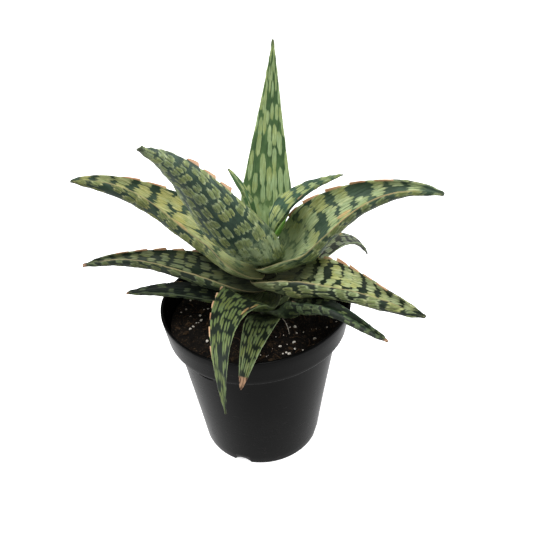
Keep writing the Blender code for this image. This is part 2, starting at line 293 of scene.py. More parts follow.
def stretched(tree, place, scale, shift=(0.0, 0.0, 0.0)):
    """The same place measured in a stretched and shifted frame."""
    node = tree.nodes.new("ShaderNodeVectorMath")
    node.operation = "MULTIPLY_ADD"
    link(tree, place, node.inputs[0])
    node.inputs[1].default_value = scale
    link(tree, shift, node.inputs[2])
    return node.outputs[0]


def fact(tree, name):
    """A fact that the points of a mesh carry, as a vector."""
    node = tree.nodes.new("ShaderNodeAttribute")
    node.attribute_name = name
    return node.outputs["Vector"]


def object_place(tree):
    """The place on the object, in metres."""
    return tree.nodes.new("ShaderNodeTexCoord").outputs["Object"]


def split(tree, vector):
    node = tree.nodes.new("ShaderNodeSeparateXYZ")
    link(tree, vector, node.inputs[0])
    return node.outputs


print("colour helpers: mix_colour, tinted, noise_node, stretched")

# %% [markdown]
# Most finishes here end in the same way, with a colour, a roughness and a relief for one shader. What
# several materials share becomes a node group with named sockets, filled with each one's values.

# %% Finish and group helpers
def finish_shader(tree, shader, colour, rough, relief, distance, strength):
    """Gives the shader a colour, a roughness, and a relief of this many metres as bump."""
    bump = tree.nodes.new("ShaderNodeBump")
    bump.inputs["Distance"].default_value = distance
    bump.inputs["Strength"].default_value = strength
    link(tree, relief, bump.inputs["Height"])
    link(tree, colour, shader.inputs["Base Color"])
    link(tree, rough, shader.inputs["Roughness"])
    link(tree, bump.outputs["Normal"], shader.inputs["Normal"])


def new_group(name, inputs, outputs):
    """An empty shader group, from (name, type, default) inputs and (name, type) outputs."""
    group = bpy.data.node_groups.new(name, "ShaderNodeTree")
    for label, kind, value in inputs:
        socket = group.interface.new_socket(label, in_out="INPUT", socket_type=kind)
        if value is not None:
            socket.default_value = value
    for label, kind in outputs:
        group.interface.new_socket(label, in_out="OUTPUT", socket_type=kind)
    given = group.nodes.new("NodeGroupInput").outputs
    return group, given, group.nodes.new("NodeGroupOutput").inputs


def use_group(tree, group, values):
    """Places a group in a material, with a value or an output for each socket that is named."""
    node = tree.nodes.new("ShaderNodeGroup")
    node.node_tree = group
    for label, value in values.items():
        socket = node.inputs[label]
        is_colour = isinstance(value, tuple) and socket.type == "RGBA"
        link(tree, (*value, 1.0) if is_colour else value, socket)
    return node.outputs


print("group helpers: new_group, use_group")

# %% [markdown]
# The form of each leaf repeats the solid's own rule, so the fine leaf lies exactly where the plain
# one does. A row says where the leaf leaves the stem, how it climbs and bends, how wide, deep and
# rolled its channel is, and how its margin is toothed.

# %% Leaf values
STEM_X = 8.0
STEM_R = 5.0
STEM_TAPER = 128.0
STEM_TOP = 141.0
STEM_TIP_R = 1.5
EDGE = 0.8
SHEATH_RISE = 18.0
SHEATH_BLEND = 28.0
LEAF_SEAT = 0.45
NEST_GAP = 0.7
NEST_STEP = 0.5
NEST_REACH = 130.0
CORE_HEIGHT = 132.0
TIP_CLOSES = 0.65
TOOTH_LENGTH = 7.0
# Sizes are in millimetres and angles in degrees: azimuth goes round the stem, rise is above the
# level, and channel is half of its opening. Taper is the power with which the width falls towards
# the tip, and clasp says how far round the stem the sheath reaches on either side.
FIELDS = (
    "azimuth swing height cup rise_base rise_middle rise_tip length width channel roll "
    "thickness taper clasp_right clasp_left tooth pitch"
).split()
LEAVES = (
    (316, -3, 139.5, 3.2, 56, 60, 60, 26, 7.8, 52, 0, 1.8, 0.80, 30, 26, 0.0, 8),
    (179, -4, 138.5, 4.2, 88, 76, 53, 50, 11, 51, -15, 2.2, 0.75, 30, 30, 0.0, 8),
    (21, -9, 138.1, 4.2, 102, 34, 7, 61, 18.6, 44, 5, 3.0, 0.97, 35, 35, 0.6, 8),
    (81, -5, 135.5, 5.2, 83, 59, 77.5, 110.25, 32.5, 22, 9, 4.2, 1.03, 55, 55, 0.5, 11),
    (242, 20, 130.0, 8.0, 49, 52, 29, 166.25, 37.5, 46, 26, 5.2, 1.02, 105, 105, 1.6, 16),
    (345, -28, 128.5, 14.0, 46, 42, 1, 109.5, 46.5, 82, 36, 5.2, 1.06, 110, 75, 1.5, 13),
    (153, 60, 122.0, 12.0, 11, 36, 21.5, 116.25, 48.5, 72, -2, 5.2, 0.76, 80, 105, 1.3, 14),
    (311, 1, 119.2, 9.0, 26, 15, 12, 103.75, 41.5, 91, 5, 4.8, 0.80, 95, 95, 1.6, 10),
    (174, 16, 114.0, 9.0, -2, 17, -11, 99, 33.5, 88, -8, 4.4, 0.98, 90, 95, 1.4, 10),
    (92, 0, 110.0, 8.0, 22, 14, -8, 84, 22, 50, 0, 4.2, 0.90, 70, 70, 1.2, 11),
    (245, 37, 112.0, 8.0, 28, 13, -64, 115, 26.5, 8, -19, 4.0, 0.96, 70, 65, 1.3, 10),
    (41, 5, 103.0, 8.0, 32, -9, -66, 100, 21, 29, 22, 3.8, 0.91, 65, 65, 1.0, 10),
    (126, 0, 104.0, 8.0, 18, 10, -14, 62, 20, 50, 0, 4.0, 0.90, 60, 60, 1.0, 10),
    (180, -1, 102.0, 8.0, 6, 9, -10, 76.5, 18, 49, -13, 4.0, 0.74, 60, 60, 0.9, 10),
    (303, -9, 101.7, 8.0, 44, 21, 17.5, 108, 20, 86, -5, 3.8, 1.04, 60, 60, 1.0, 10),
    (62, 0, 98.0, 7.5, 20, 8, -16, 66, 19, 48, 0, 3.8, 0.88, 55, 55, 1.0, 10),
    (118, 0, 95.0, 7.0, 20, 9, -12, 60, 18, 46, 0, 3.6, 0.86, 50, 50, 0.9, 10),
    (256, 3, 93.5, 7.0, 30, 4, -16, 68, 19.5, 28, -13, 3.2, 0.72, 50, 50, 0.8, 9),
)
print("leaves:", len(LEAVES))

# %% [markdown]
# The midline is a curve of three slopes that starts low, as a sheath wrapped round the stem, and
# turns up where it leaves its neighbours. Like the width and the thickness, it is a plain function of
# the distance along the leaf.

# %% Leaf form
MIDLINE_STEPS = 240
WIDEST_AT = 0.14
TIP_WIDTH = 0.035
SWELL_LENGTH = 24.0
TIP_THINNER = 0.72


def through(first, middle, last, s):
    """The parabola with these values at 0, 0.5 and 1."""
    return first * (1 - s) * (1 - 2 * s) + 4 * middle * s * (1 - s) + last * s * (2 * s - 1)


def seat_radius(leaf):
    fall = smooth((leaf["height"] - STEM_TAPER) / (STEM_TOP - STEM_TAPER))
    return STEM_R + (STEM_TIP_R - STEM_R) * float(fall) + LEAF_SEAT


def direction(slope, azimuth):
    level = np.cos(slope)
    return np.stack([level * np.cos(azimuth), level * np.sin(azimuth), np.sin(slope)], -1)


def midline(leaf, along):
    """Points, slope and azimuth of the leaf's middle line at these distances from its base."""
    walk = np.linspace(0.0, leaf["length"], MIDLINE_STEPS)
    share = walk / leaf["length"]
    turn = 1.4 * max(leaf["cup"] - seat_radius(leaf), 0.5)
    rise = through(leaf["rise_base"], leaf["rise_middle"], leaf["rise_tip"], share)
    slope = np.radians(SHEATH_RISE + (rise - SHEATH_RISE) * smooth(walk / turn))
    azimuth = np.radians(leaf["azimuth"] + leaf["swing"] * share**1.5)
    heading = direction(slope, azimuth)
    start = math.radians(leaf["azimuth"])
    seat = seat_radius(leaf)
    points = np.empty((len(walk), 3))
    points[0] = (STEM_X + seat * math.cos(start), seat * math.sin(start), leaf["height"])
    points[1:] = points[0] + np.cumsum((heading[1:] + heading[:-1]) / 2 * walk[1], axis=0)
    places = np.stack([np.interp(along, walk, points[:, axis]) for axis in range(3)], -1)
    return places, np.interp(along, walk, slope), np.interp(along, walk, azimuth)


def leaf_width(leaf, share):
    """Widest just above the sheath, then a long taper to the tip."""
    past = np.clip((share - WIDEST_AT) / (1.0 - WIDEST_AT), 0.0, 1.0)
    sheath = 0.9 + 0.1 * smooth(share / WIDEST_AT)
    shape = np.where(share < WIDEST_AT, sheath, (1.0 - past) ** leaf["taper"])
    return leaf["width"] * np.maximum(shape, TIP_WIDTH)


def leaf_thickness(leaf, along, share):
    swell = 0.2 + 0.8 * smooth(along / SWELL_LENGTH)
    return leaf["thickness"] * swell * (1.0 - TIP_THINNER * share)


longest = dict(zip(FIELDS, max(LEAVES, key=lambda row: row[FIELDS.index("length")])))
print("width of the longest leaf at its middle, mm:", round(float(leaf_width(longest, 0.5)), 1))

# %% [markdown]
# The cross-section starts as a cup that clasps the stem and opens into a free channel. Between the
# two lies a stretch where one turns softly into the other.

# %% Leaf cross-section
CUP_LENGTH = 4.0


def free_channel(leaf, share, lateral, middle, slope, azimuth):
    """The part of a leaf that stands free: points of a rolled channel and their outward directions."""
    forward = direction(slope, azimuth)
    side = np.stack([-np.sin(azimuth), np.cos(azimuth), 0 * azimuth], -1)
    inward = np.cross(forward, side)
    roll = np.radians(leaf["roll"]) * smooth(share * 3)
    side, inward = (
        (side * np.cos(roll)[:, None] + inward * np.sin(roll)[:, None])[:, None],
        (inward * np.cos(roll)[:, None] - side * np.sin(roll)[:, None])[:, None],
    )
    width = leaf_width(leaf, share)[:, None]
    closing = TIP_CLOSES * smooth((share[:, None] - 0.4) / 0.5)
    bend = np.radians(leaf["channel"]) * (0.6 + 0.4 * width / leaf["width"] + closing)
    turned_by = (bend * lateral / (width / 2))[..., None]
    radius = (width / 2 / bend)[..., None]
    points = middle[:, None] + side * (radius * np.sin(turned_by))
    points = points + inward * (radius * (1 - np.cos(turned_by)))
    return points, side * np.sin(turned_by) - inward * np.cos(turned_by)


def clasping_cup(leaf, lateral, across, middle, slope):
    """The part that lies round the stem: points of a cup and their outward directions."""
    reach = middle - (STEM_X, 0.0, 0.0)
    distance = np.hypot(reach[:, 0], reach[:, 1])[:, None]
    clasp = np.where(across < 0, leaf["clasp_right"], leaf["clasp_left"])
    limit = np.radians(clasp) * np.abs(across)
    turn = np.clip(lateral / distance, -limit, limit)
    turn = np.arctan2(reach[:, 1], reach[:, 0])[:, None] + turn
    level = np.repeat(middle[:, 2:], lateral.shape[1], axis=1)
    points = np.stack([STEM_X + distance * np.cos(turn), distance * np.sin(turn), level], -1)
    steep = np.sin(slope)[:, None]
    down = np.repeat(-np.cos(slope)[:, None], lateral.shape[1], axis=1)
    return points, np.stack([steep * np.cos(turn), steep * np.sin(turn), down], -1)


def leaf_faces(leaf, along, lateral, across):
    """Grids of points on the inner and outer face, and the outward direction at each.

    lateral is each point's distance from the midline in millimetres, and across the same as a share
    of the half width."""
    share = along / leaf["length"]
    middle, slope, azimuth = midline(leaf, along)
    free, free_out = free_channel(leaf, share, lateral, middle, slope, azimuth)
    cup, cup_out = clasping_cup(leaf, lateral, across, middle, slope)
    freed = smooth((along - CUP_LENGTH) / SHEATH_BLEND)[:, None, None]
    inner = cup * (1 - freed) + free * freed
    out = cup_out * (1 - freed) + free_out * freed
    out /= np.linalg.norm(out, axis=-1, keepdims=True)
    belly = (1 - np.minimum(np.abs(across), 1.0) ** 2.2) ** 0.8
    depth = EDGE + leaf_thickness(leaf, along, share)[:, None] * belly
    return inner, inner + out * depth[..., None], out


print("a leaf leaves its cup after, mm:", CUP_LENGTH + SHEATH_BLEND)

# %% [markdown]
# Leaves of a rosette grow from the centre outward, so an older leaf always lies under the younger
# ones. The nest keeps the lowest surface so far as heights over a grid, and each leaf in turn bends
# down just enough to lie clear of it.

# %% Nesting
FAR_ABOVE = 1000.0
SETTLE_STEP = 0.4
SETTLE_COLUMNS = 81
SETTLE_ROUNDS = 4
SETTLE_BLUR = 41
SETTLE_WIDEN = 8


class Nest:
    """The lowest surface of the leaves placed so far, as heights over a square grid."""

    def __init__(self):
        cells = int(2 * NEST_REACH / NEST_STEP) + 1
        self.ceiling = np.full((cells, cells), FAR_ABOVE)

    def cell(self, points):
        place = (points[..., :2] + NEST_REACH) / NEST_STEP
        return np.clip(np.rint(place).astype(int), 1, len(self.ceiling) - 2)

    def above(self, points):
        """Height of the lowest leaf over each point, or over the cells beside it."""
        at = self.cell(points)
        found = np.full(at.shape[:-1], FAR_ABOVE)
        for dx in (-1, 0, 1):
            for dy in (-1, 0, 1):
                found = np.minimum(found, self.ceiling[at[..., 0] + dx, at[..., 1] + dy])
        return found

    def add(self, points):
        at = self.cell(points).reshape(-1, 2)
        np.minimum.at(self.ceiling, (at[:, 0], at[:, 1]), points[..., 2].ravel())


def settle(leaf, nest):
    """How far the leaf bends down along its length to lie clear below the younger leaves."""
    along = np.arange(0.0, leaf["length"] + SETTLE_STEP / 2, SETTLE_STEP)
    across = np.repeat(np.linspace(-1.0, 1.0, SETTLE_COLUMNS)[None], len(along), axis=0)
    half = leaf_width(leaf, along / leaf["length"])[:, None] / 2
    inner, outer, _ = leaf_faces(leaf, along, half * across, across)
    if leaf["height"] > CORE_HEIGHT:
        nest.add(outer)
        return along, 0.0 * along
    need = 0.0 * along
    for face in (inner, outer):
        need = np.maximum(need, np.max(face[..., 2] - nest.above(face) + NEST_GAP, axis=1))

    # The bend is smoothed without ever falling below what is needed.
    drop = need
    blur = np.hanning(SETTLE_BLUR)
    blur /= blur.sum()
    for _ in range(SETTLE_ROUNDS):
        padded = np.pad(drop, SETTLE_BLUR // 2, mode="edge")
        drop = np.maximum(need, np.convolve(padded, blur, mode="valid"))
    window = 2 * SETTLE_WIDEN + 1
    widened = np.array(
        [drop[max(0, k - SETTLE_WIDEN) : k + SETTLE_WIDEN + 1].max() for k in range(len(drop))]
    )
    padded = np.pad(widened, SETTLE_WIDEN, mode="edge")
    drop = np.convolve(padded, np.ones(window) / window, mode="valid")
    for face in (outer, inner):
        face[..., 2] -= drop[:, None]
        nest.add(face)
    return along, drop


print("nest grid:", Nest().ceiling.shape, "cells of", NEST_STEP, "mm")

# %% [markdown]
# The teeth of a spotted aloe are low horny lumps with flat tops and steep ends, spaced along the
# margin. They stand at the same places as on the solid leaf, with a little chance in height and
# length, so that no two are alike. In the photograph one margin of the large leaves carries full
# teeth while on the other they stay mere bumps, so each margin has a strength of its own.

# %% Margin teeth
TOOTH_STEP = 0.6
FIRST_TOOTH = 24.0
FIRST_TOOTH_SHARE = 0.2
LAST_TOOTH_SHARE = 0.86
USUAL_PITCH = 11.0
FAINT_TEETH = 0.12
USUAL_TEETH = (0.6, 0.6)
# leaf number: strength of the teeth on the right margin and on the left, seen from the base
TOOTH_SHARES = {
    4: (0.15, 0.15),
    5: (0.08, 1.15),
    6: (0.12, 1.3),
    7: (1.0, 0.1),
    8: (0.15, 1.3),
    9: (1.2, 0.12),
    11: (0.7, 0.2),
    12: (0.3, 0.3),
    14: (0.5, 0.1),
    15: (0.3, 0.2),
    18: (0.3, 0.3),
}
# leaf number: share of the length below which the margin carries no full teeth
TEETH_FROM = {5: 0.47}


def tooth_heights(leaf, along, strength, teeth_from, rng):
    """Height of the margin's teeth at each distance, in millimetres."""
    length, pitch, tooth = leaf["length"], leaf["pitch"], leaf["tooth"]
    height = np.zeros_like(along)
    start = max(FIRST_TOOTH, FIRST_TOOTH_SHARE * length)
    size = TOOTH_LENGTH * pitch / USUAL_PITCH
    while tooth > 0 and start + pitch < LAST_TOOTH_SHARE * length:
        fade = 1.0 - 0.6 * smooth((start / length - 0.55) / 0.35)
        fade *= 1.0 if start > teeth_from * length else FAINT_TEETH
        tall = tooth * fade * strength * rng.uniform(0.75, 1.1)
        first = start + rng.uniform(-0.4, 0.4)
        last = start + size * rng.uniform(0.9, 1.2)
        rise = np.clip((along - first) / TOOTH_STEP + 0.5, 0.0, 1.0)
        fall = np.clip((last - along) / (2 * TOOTH_STEP) + 0.5, 0.0, 1.0)
        slant = 1.0 - 0.45 * np.clip((along - first) / size, 0.0, 1.0)
        height = np.maximum(height, tall * rise * fall * slant)
        start += pitch
    # Past the last full tooth the margin is only a little bumpy.
    bumps = 0.2 * np.maximum(np.sin(along * 2 * np.pi / (0.6 * pitch)), 0.0)
    height += bumps * smooth((along / length - 0.75) * 12) * (tooth > 0)
    # The whole margin wavers a little between the teeth.
    phase = rng.uniform(0.0, 6.28, 2)
    waver = np.sin(along / 1.9 + phase[0]) + np.sin(along / 3.3 + phase[1])
    return height + 0.09 * np.maximum(waver, 0.0) * smooth(along / length * 6)


print("leaves with uneven margins:", len(TOOTH_SHARES))

# %% [markdown]
# Markings are what makes this plant. Every marking is a finger: a long pale ellipse between two
# veins. On the upper face fingers stand side by side in ragged crosswise bands. On the lower face
# two to five of them lie together as a block, and the blocks stay apart. So a kind of marking is a
# row of values, and each face of each leaf has its kind.

# %% Kinds of marking
# kind: period along the leaf, vein spacing, half length and half width of a finger, fingers in a
# group, gap between groups, scatter of groups, raggedness within one, share of groups missing.
# Lengths are in millimetres.
MARKINGS = {
    "bands": (13.2, 1.90, 5.0, 1.10, 6, 0.5, 3.0, 1.5, 0.05),
    "close_bands": (10.8, 1.75, 4.0, 1.02, 6, 0.5, 2.2, 1.2, 0.05),
    "streaks": (13.4, 4.00, 5.8, 1.60, 1, 0.0, 6.5, 1.0, 0.0),
    "blocks": (12.0, 1.80, 4.6, 0.93, 4, 1.3, 2.4, 1.1, 0.04),
    "long_blocks": (14.0, 1.80, 5.5, 0.90, 3, 1.5, 3.6, 1.7, 0.0),
    "dashes": (9.4, 1.60, 3.2, 0.84, 3, 0.9, 2.2, 1.0, 0.10),
    "sparse": (10.5, 1.70, 2.8, 0.80, 2, 1.8, 2.6, 1.0, 0.28),
    "long_fingers": (9.2, 1.85, 4.3, 0.74, 2, 0.5, 3.0, 1.8, 0.12),
    "small_bands": (9.0, 1.45, 3.0, 0.82, 4, 0.8, 2.2, 1.0, 0.08),
    "young": (8.5, 1.50, 3.4, 0.72, 3, 0.8, 2.4, 1.0, 0.14),
}
# leaf number: marking of the upper face and of the lower face
LEAF_MARKINGS = {
    1: ("young", "young"),
    2: ("young", "young"),
    3: ("small_bands", "small_bands"),
    4: ("streaks", "blocks"),
    5: ("bands", "long_blocks"),
    6: ("bands", "blocks"),
    7: ("bands", "blocks"),
    8: ("close_bands", "blocks"),
    9: ("dashes", "dashes"),
    10: ("bands", "blocks"),
    11: ("long_fingers", "blocks"),
    12: ("dashes", "dashes"),
    13: ("bands", "blocks"),
    14: ("sparse", "dashes"),
    15: ("sparse", "dashes"),
    16: ("bands", "blocks"),
    17: ("bands", "blocks"),
    18: ("long_fingers", "blocks"),
}

print("kinds of marking:", sorted(MARKINGS))

# %% [markdown]
# One rule makes them all: groups of fingers, each group with its own place and reach, and each finger
# a little off from the rest of its group. A point's fact is how far inside the nearest finger it
# lies, so the edge can be drawn sharper than the mesh, and the same number lifts the marking from
# the surface.

# %% Markings
FAR_OUTSIDE = -1.5
FINGER_POWER = 2.6


def finger_rows(kind, leaf, rng):
    """Place along and across, half length, half width and tone of every finger on one face."""
    period, spacing, half_length, half_width, group, gap, scatter, ragged, missing = MARKINGS[kind]
    length = leaf["length"]
    reach_across = leaf["width"] / 2
    rows = []
    station = rng.uniform(1.0, period * 0.6)
    while station < length * 0.995:
        shrink = 1.0 - 0.35 * smooth(station / length * 1.25 - 0.25)
        side = -reach_across - rng.uniform(0.0, group * spacing)
        while side < reach_across + spacing:
            count = group if group < 3 else int(rng.integers(group - 1, group + 2))
            shift = scatter * rng.uniform(-1.0, 1.0)
            reach = rng.uniform(0.78, 1.22)
            absent = rng.random() < missing
            shade = rng.uniform(-1.0, 1.0)
            for finger in range(count):
                middle = (finger - (count - 1) / 2) / max(count / 2, 1.0)
                a = half_length * shrink * reach * (1.08 - 0.35 * middle**2) * rng.uniform(0.8, 1.2)
                b = half_width * rng.uniform(0.86, 1.12)
                place = station + (shift + ragged * rng.uniform(-1.0, 1.0)) * shrink
                beside = side + (finger + rng.uniform(-0.12, 0.12)) * spacing
                if not absent:
                    rows.append((place, beside, a, b, 0.6 * shade + 0.4 * rng.uniform(-1.0, 1.0)))
            side += count * spacing + gap * rng.uniform(0.6, 1.4)
        station += period * (1.0 - 0.3 * station / length) * rng.uniform(0.9, 1.1)
    return rows


def marking_field(kind, leaf, along, lateral, rng):
    """How far inside a finger each point lies in millimetres, the finger's tone, and how near the
    point is to the finger's middle, from 0 at its ends to 1."""
    squeeze = (leaf_width(leaf, along / leaf["length"]) / leaf["width"]) ** 0.6
    vein = lateral / squeeze[:, None]
    field = np.full(lateral.shape, FAR_OUTSIDE)
    tone = np.zeros(lateral.shape)
    central = np.zeros(lateral.shape)
    for place, side, a, b, shade in finger_rows(kind, leaf, rng):
        near = np.nonzero(np.abs(along - place) < 1.4 * a + 0.5)[0]
        if not len(near):
            continue
        ahead = np.abs((along[near, None] - place) / a)
        beside = np.abs((vein[near] - side) / b)
        radius = (ahead**FINGER_POWER + beside**FINGER_POWER) ** (1 / FINGER_POWER)
        inside = (1.0 - radius) * b * squeeze[near, None]
        better = inside > field[near]
        field[near] = np.where(better, inside, field[near])
        tone[near] = np.where(better, shade, tone[near])
        central[near] = np.where(better, 1.0 - ahead, central[near])
    return field, tone, np.clip(central, 0.0, 1.0)


print("how far outside a bare point counts, mm:", -FAR_OUTSIDE)

# %% [markdown]
# Older leaves carry stains: strips of tan scar near the margin, where the plant was rubbed, and a
# dry brown tip. The stains follow the veins, so they are long narrow ellipses as well.

# %% Stains
# leaf number: share along the leaf, side from -1 on the right margin to 1 on the left, and half
# length and half width in millimetres
STAINS = {
    5: ((0.60, -0.93, 14.0, 0.9),),
    6: ((0.60, -0.95, 20.0, 1.6), (0.75, -0.90, 8.0, 2.0), (0.48, -0.1, 5.0, 1.2)),
    7: ((0.58, 0.92, 20.0, 1.2), (0.60, 0.15, 7.0, 2.0), (0.44, 0.20, 6.0, 3.0)),
    8: ((0.22, -0.75, 14.0, 1.4), (0.36, -0.9, 10.0, 0.9), (0.62, -0.55, 6.0, 1.0)),
    11: ((0.44, 0.80, 6.0, 0.6), (0.34, 0.88, 6.0, 0.5)),
    12: ((0.55, 0.8, 9.0, 0.8),),
}
# leaf number: how much of the tip has dried, as a share of the length
DRY_TIPS = {9: 0.02, 14: 0.02, 15: 0.012, 18: 0.10}


def stain_field(number, leaf, along, lateral):
    """1 in the middle of a stain, 0 outside, and soft between."""
    worn = np.zeros(lateral.shape)
    half = leaf_width(leaf, along / leaf["length"])[:, None] / 2
    for share, side, half_length, half_width in STAINS.get(number, ()):
        ahead = (along[:, None] - share * leaf["length"]) / half_length
        beside = (lateral - side * half) / half_width
        worn = np.maximum(worn, np.clip(1.3 - np.hypot(ahead, beside), 0.0, 1.0))
    return worn


print("stained leaves:", sorted(STAINS), "dry tips:", sorted(DRY_TIPS))

# %% [markdown]
# A leaf is a grid of points along and across. The markings are long and narrow, so points stand
# closer across the leaf than along it, and leaves that hide behind the others get by with fewer.
# Extra columns near the margin round it off, and the tip ends in a small half circle.

# %% Leaf grid
ALONG_STEP = 0.62
ACROSS_STEP = 0.42
FEWEST_COLUMNS = 9
HIDDEN_LEAVES = (10, 13, 16, 17)
HIDDEN_COARSER = 2.0
MARGIN_REACH = 0.8
MARGIN_SHARE = 0.4
MARGIN_COLUMNS = (0.0, 0.08, 0.28, 0.6, 1.0)
FAR_FROM_MARGIN = 10.0
TIP_ROUND = 1.6
TIP_ROWS = (0.3, 0.55, 0.75, 0.9, 0.97)


def leaf_grid(leaf, coarser):
    """Distances along, and for each point its lateral place, share across and depth from the margin,
    then the half width and the width of the margin's strip at each row."""
    length = leaf["length"]
    rows = np.linspace(0.0, length - TIP_ROUND, int(length / ALONG_STEP / coarser))
    along = np.concatenate([rows, length - TIP_ROUND * (1 - np.array(TIP_ROWS))])
    half = leaf_width(leaf, along / length)[:, None] / 2
    left = length - along[:, None]
    round_end = half * np.sqrt(np.clip(left * (2 * TIP_ROUND - left), 0.0, None)) / TIP_ROUND
    half = np.where(left < TIP_ROUND, round_end, half)
    columns = max(FEWEST_COLUMNS, int(leaf["width"] / ACROSS_STEP / coarser))
    rim = np.minimum(MARGIN_REACH, half * MARGIN_SHARE)
    middle = np.linspace(-1.0, 1.0, columns) * (half - rim * 1.15)
    edges = np.array(MARGIN_COLUMNS) * rim
    lateral = np.concatenate([-(half - edges), middle, (half - edges)[:, ::-1]], axis=1)
    depth = np.concatenate([edges, 0 * middle + FAR_FROM_MARGIN, edges[:, ::-1]], axis=1)
    across = lateral / leaf_width(leaf, along / length)[:, None] * 2
    return along, lateral, across, depth, half, rim


print("points of the longest leaf's face:", leaf_grid(longest, 1.0)[1].shape)

# %% [markdown]
# Spots lift both faces a little, and a slow ripple keeps the surface from looking machined. Where the
# faces meet, both are drawn together so that the margin is round, and the teeth grow from the
# outermost columns alone.

# %% Leaf surface
TOOTH_ROOT = 0.45
TIP_THINS = 9.0
MARGIN_RADIUS = 0.4
SPOT_LIFT_OUTER = 0.20
SPOT_LIFT_INNER = 0.07
SLOW_WAVES = (0.16, 0.12)
VEIN_RIDGE = 0.035
MOST_RIPPLE = 0.3


def ripple(leaf, along, lateral, rng):
    """Slow unevenness of the whole blade, and fine ridges along its veins, in millimetres."""
    phase = rng.uniform(0, 6.28, 6)
    walk = along[:, None]
    share = walk / leaf["length"]
    slow = SLOW_WAVES[0] * np.sin(walk / 6.5 + phase[0] + 0.12 * lateral)
    slow += SLOW_WAVES[1] * np.sin(walk / 3.9 + phase[1] - 0.25 * lateral)
    veins = VEIN_RIDGE * np.sin(lateral * 3.6 + phase[2] + 0.4 * np.sin(walk / 9 + phase[3]))
    wave = slow * smooth(share * 6) * (1 - smooth(share * 4 - 3)) + veins
    return wave.clip(-MOST_RIPPLE, MOST_RIPPLE)


def plain_faces(leaf, grid, growth, nest):
    """Inner and outer face where the leaf lies, with the teeth grown but nothing raised on them."""
    along, lateral, across = grid[:3]
    inner, outer, out = leaf_faces(leaf, along, lateral + np.sign(lateral) * growth, across)
    thinner = 0.45 + 0.55 * smooth((leaf["length"] - along) / TIP_THINS)
    outer = inner + (outer - inner) * thinner[:, None, None]
    walk, drop = settle(leaf, nest)
    lower = np.interp(along, walk, drop)[:, None]
    inner[..., 2] -= lower
    outer[..., 2] -= lower
    return inner, outer, out


def raise_spots(faces, out, wave, upper, under, depth, rim):
    """Moves both faces by the wave, lifts the spots and rounds the margin."""
    inner, outer = faces
    wave = wave * np.clip(depth * 2, 0.0, 1.0)
    lift_in = SPOT_LIFT_INNER * smooth(upper / 0.5 + 0.3) * (depth > 1)
    lift_out = SPOT_LIFT_OUTER * smooth(under / 0.5 + 0.3) * (depth > 1)
    inner += out * (wave - lift_in)[..., None]
    outer += out * (wave + lift_out)[..., None]
    from_edge = 1 - np.clip(depth / rim, 0, 1)
    inset = MARGIN_RADIUS * (1 - np.sqrt(np.clip(1 - from_edge**2, 0, 1)))
    inner += out * inset[..., None]
    outer -= out * inset[..., None]


print("spots lift the outer face by", SPOT_LIFT_OUTER, "mm")

# %% [markdown]
# Both faces share the points of the margin, so a ring of points runs out on one face and back on the
# other, and quads join each ring to the next. Four facts go with the points: the place on the
# unrolled leaf, the markings, the margin with its teeth, and the wear.

# %% Leaf mesh
BARE_MARGIN = 0.4
OUTER_FACE_AWAY = 40.0
FIRST_SEED = 400


def both(inner, outer):
    """Values of the two faces in the order of a ring."""
    return np.concatenate([inner, outer[:, -2:0:-1]], axis=1)


def facts_of(*pairs):
    """Three values for each point, from (inner face, outer face) pairs."""
    return np.stack([both(inner, outer).ravel() for inner, outer in pairs], -1)


def ring_faces(rows, around, columns):
    """Quads between the rings, and a strip of faces that closes either end."""
    ring = np.arange(rows - 1)[:, None] * around
    k = np.arange(around)[None]
    after = (k + 1) % around
    quads = np.stack([ring + k, ring + around + k, ring + around + after, ring + after], -1)
    faces = quads.reshape(-1, 4).tolist()
    for end, flip in ((0, False), ((rows - 1) * around, True)):
        for a in range(columns - 1):
            b = a + 1
            low_b = around - b if b < columns - 1 else b
            loop = list(dict.fromkeys([a, b, low_b, (around - a) % around]))
            if len(loop) > 2:
                faces.append([end + v for v in (reversed(loop) if flip else loop)])
    return faces


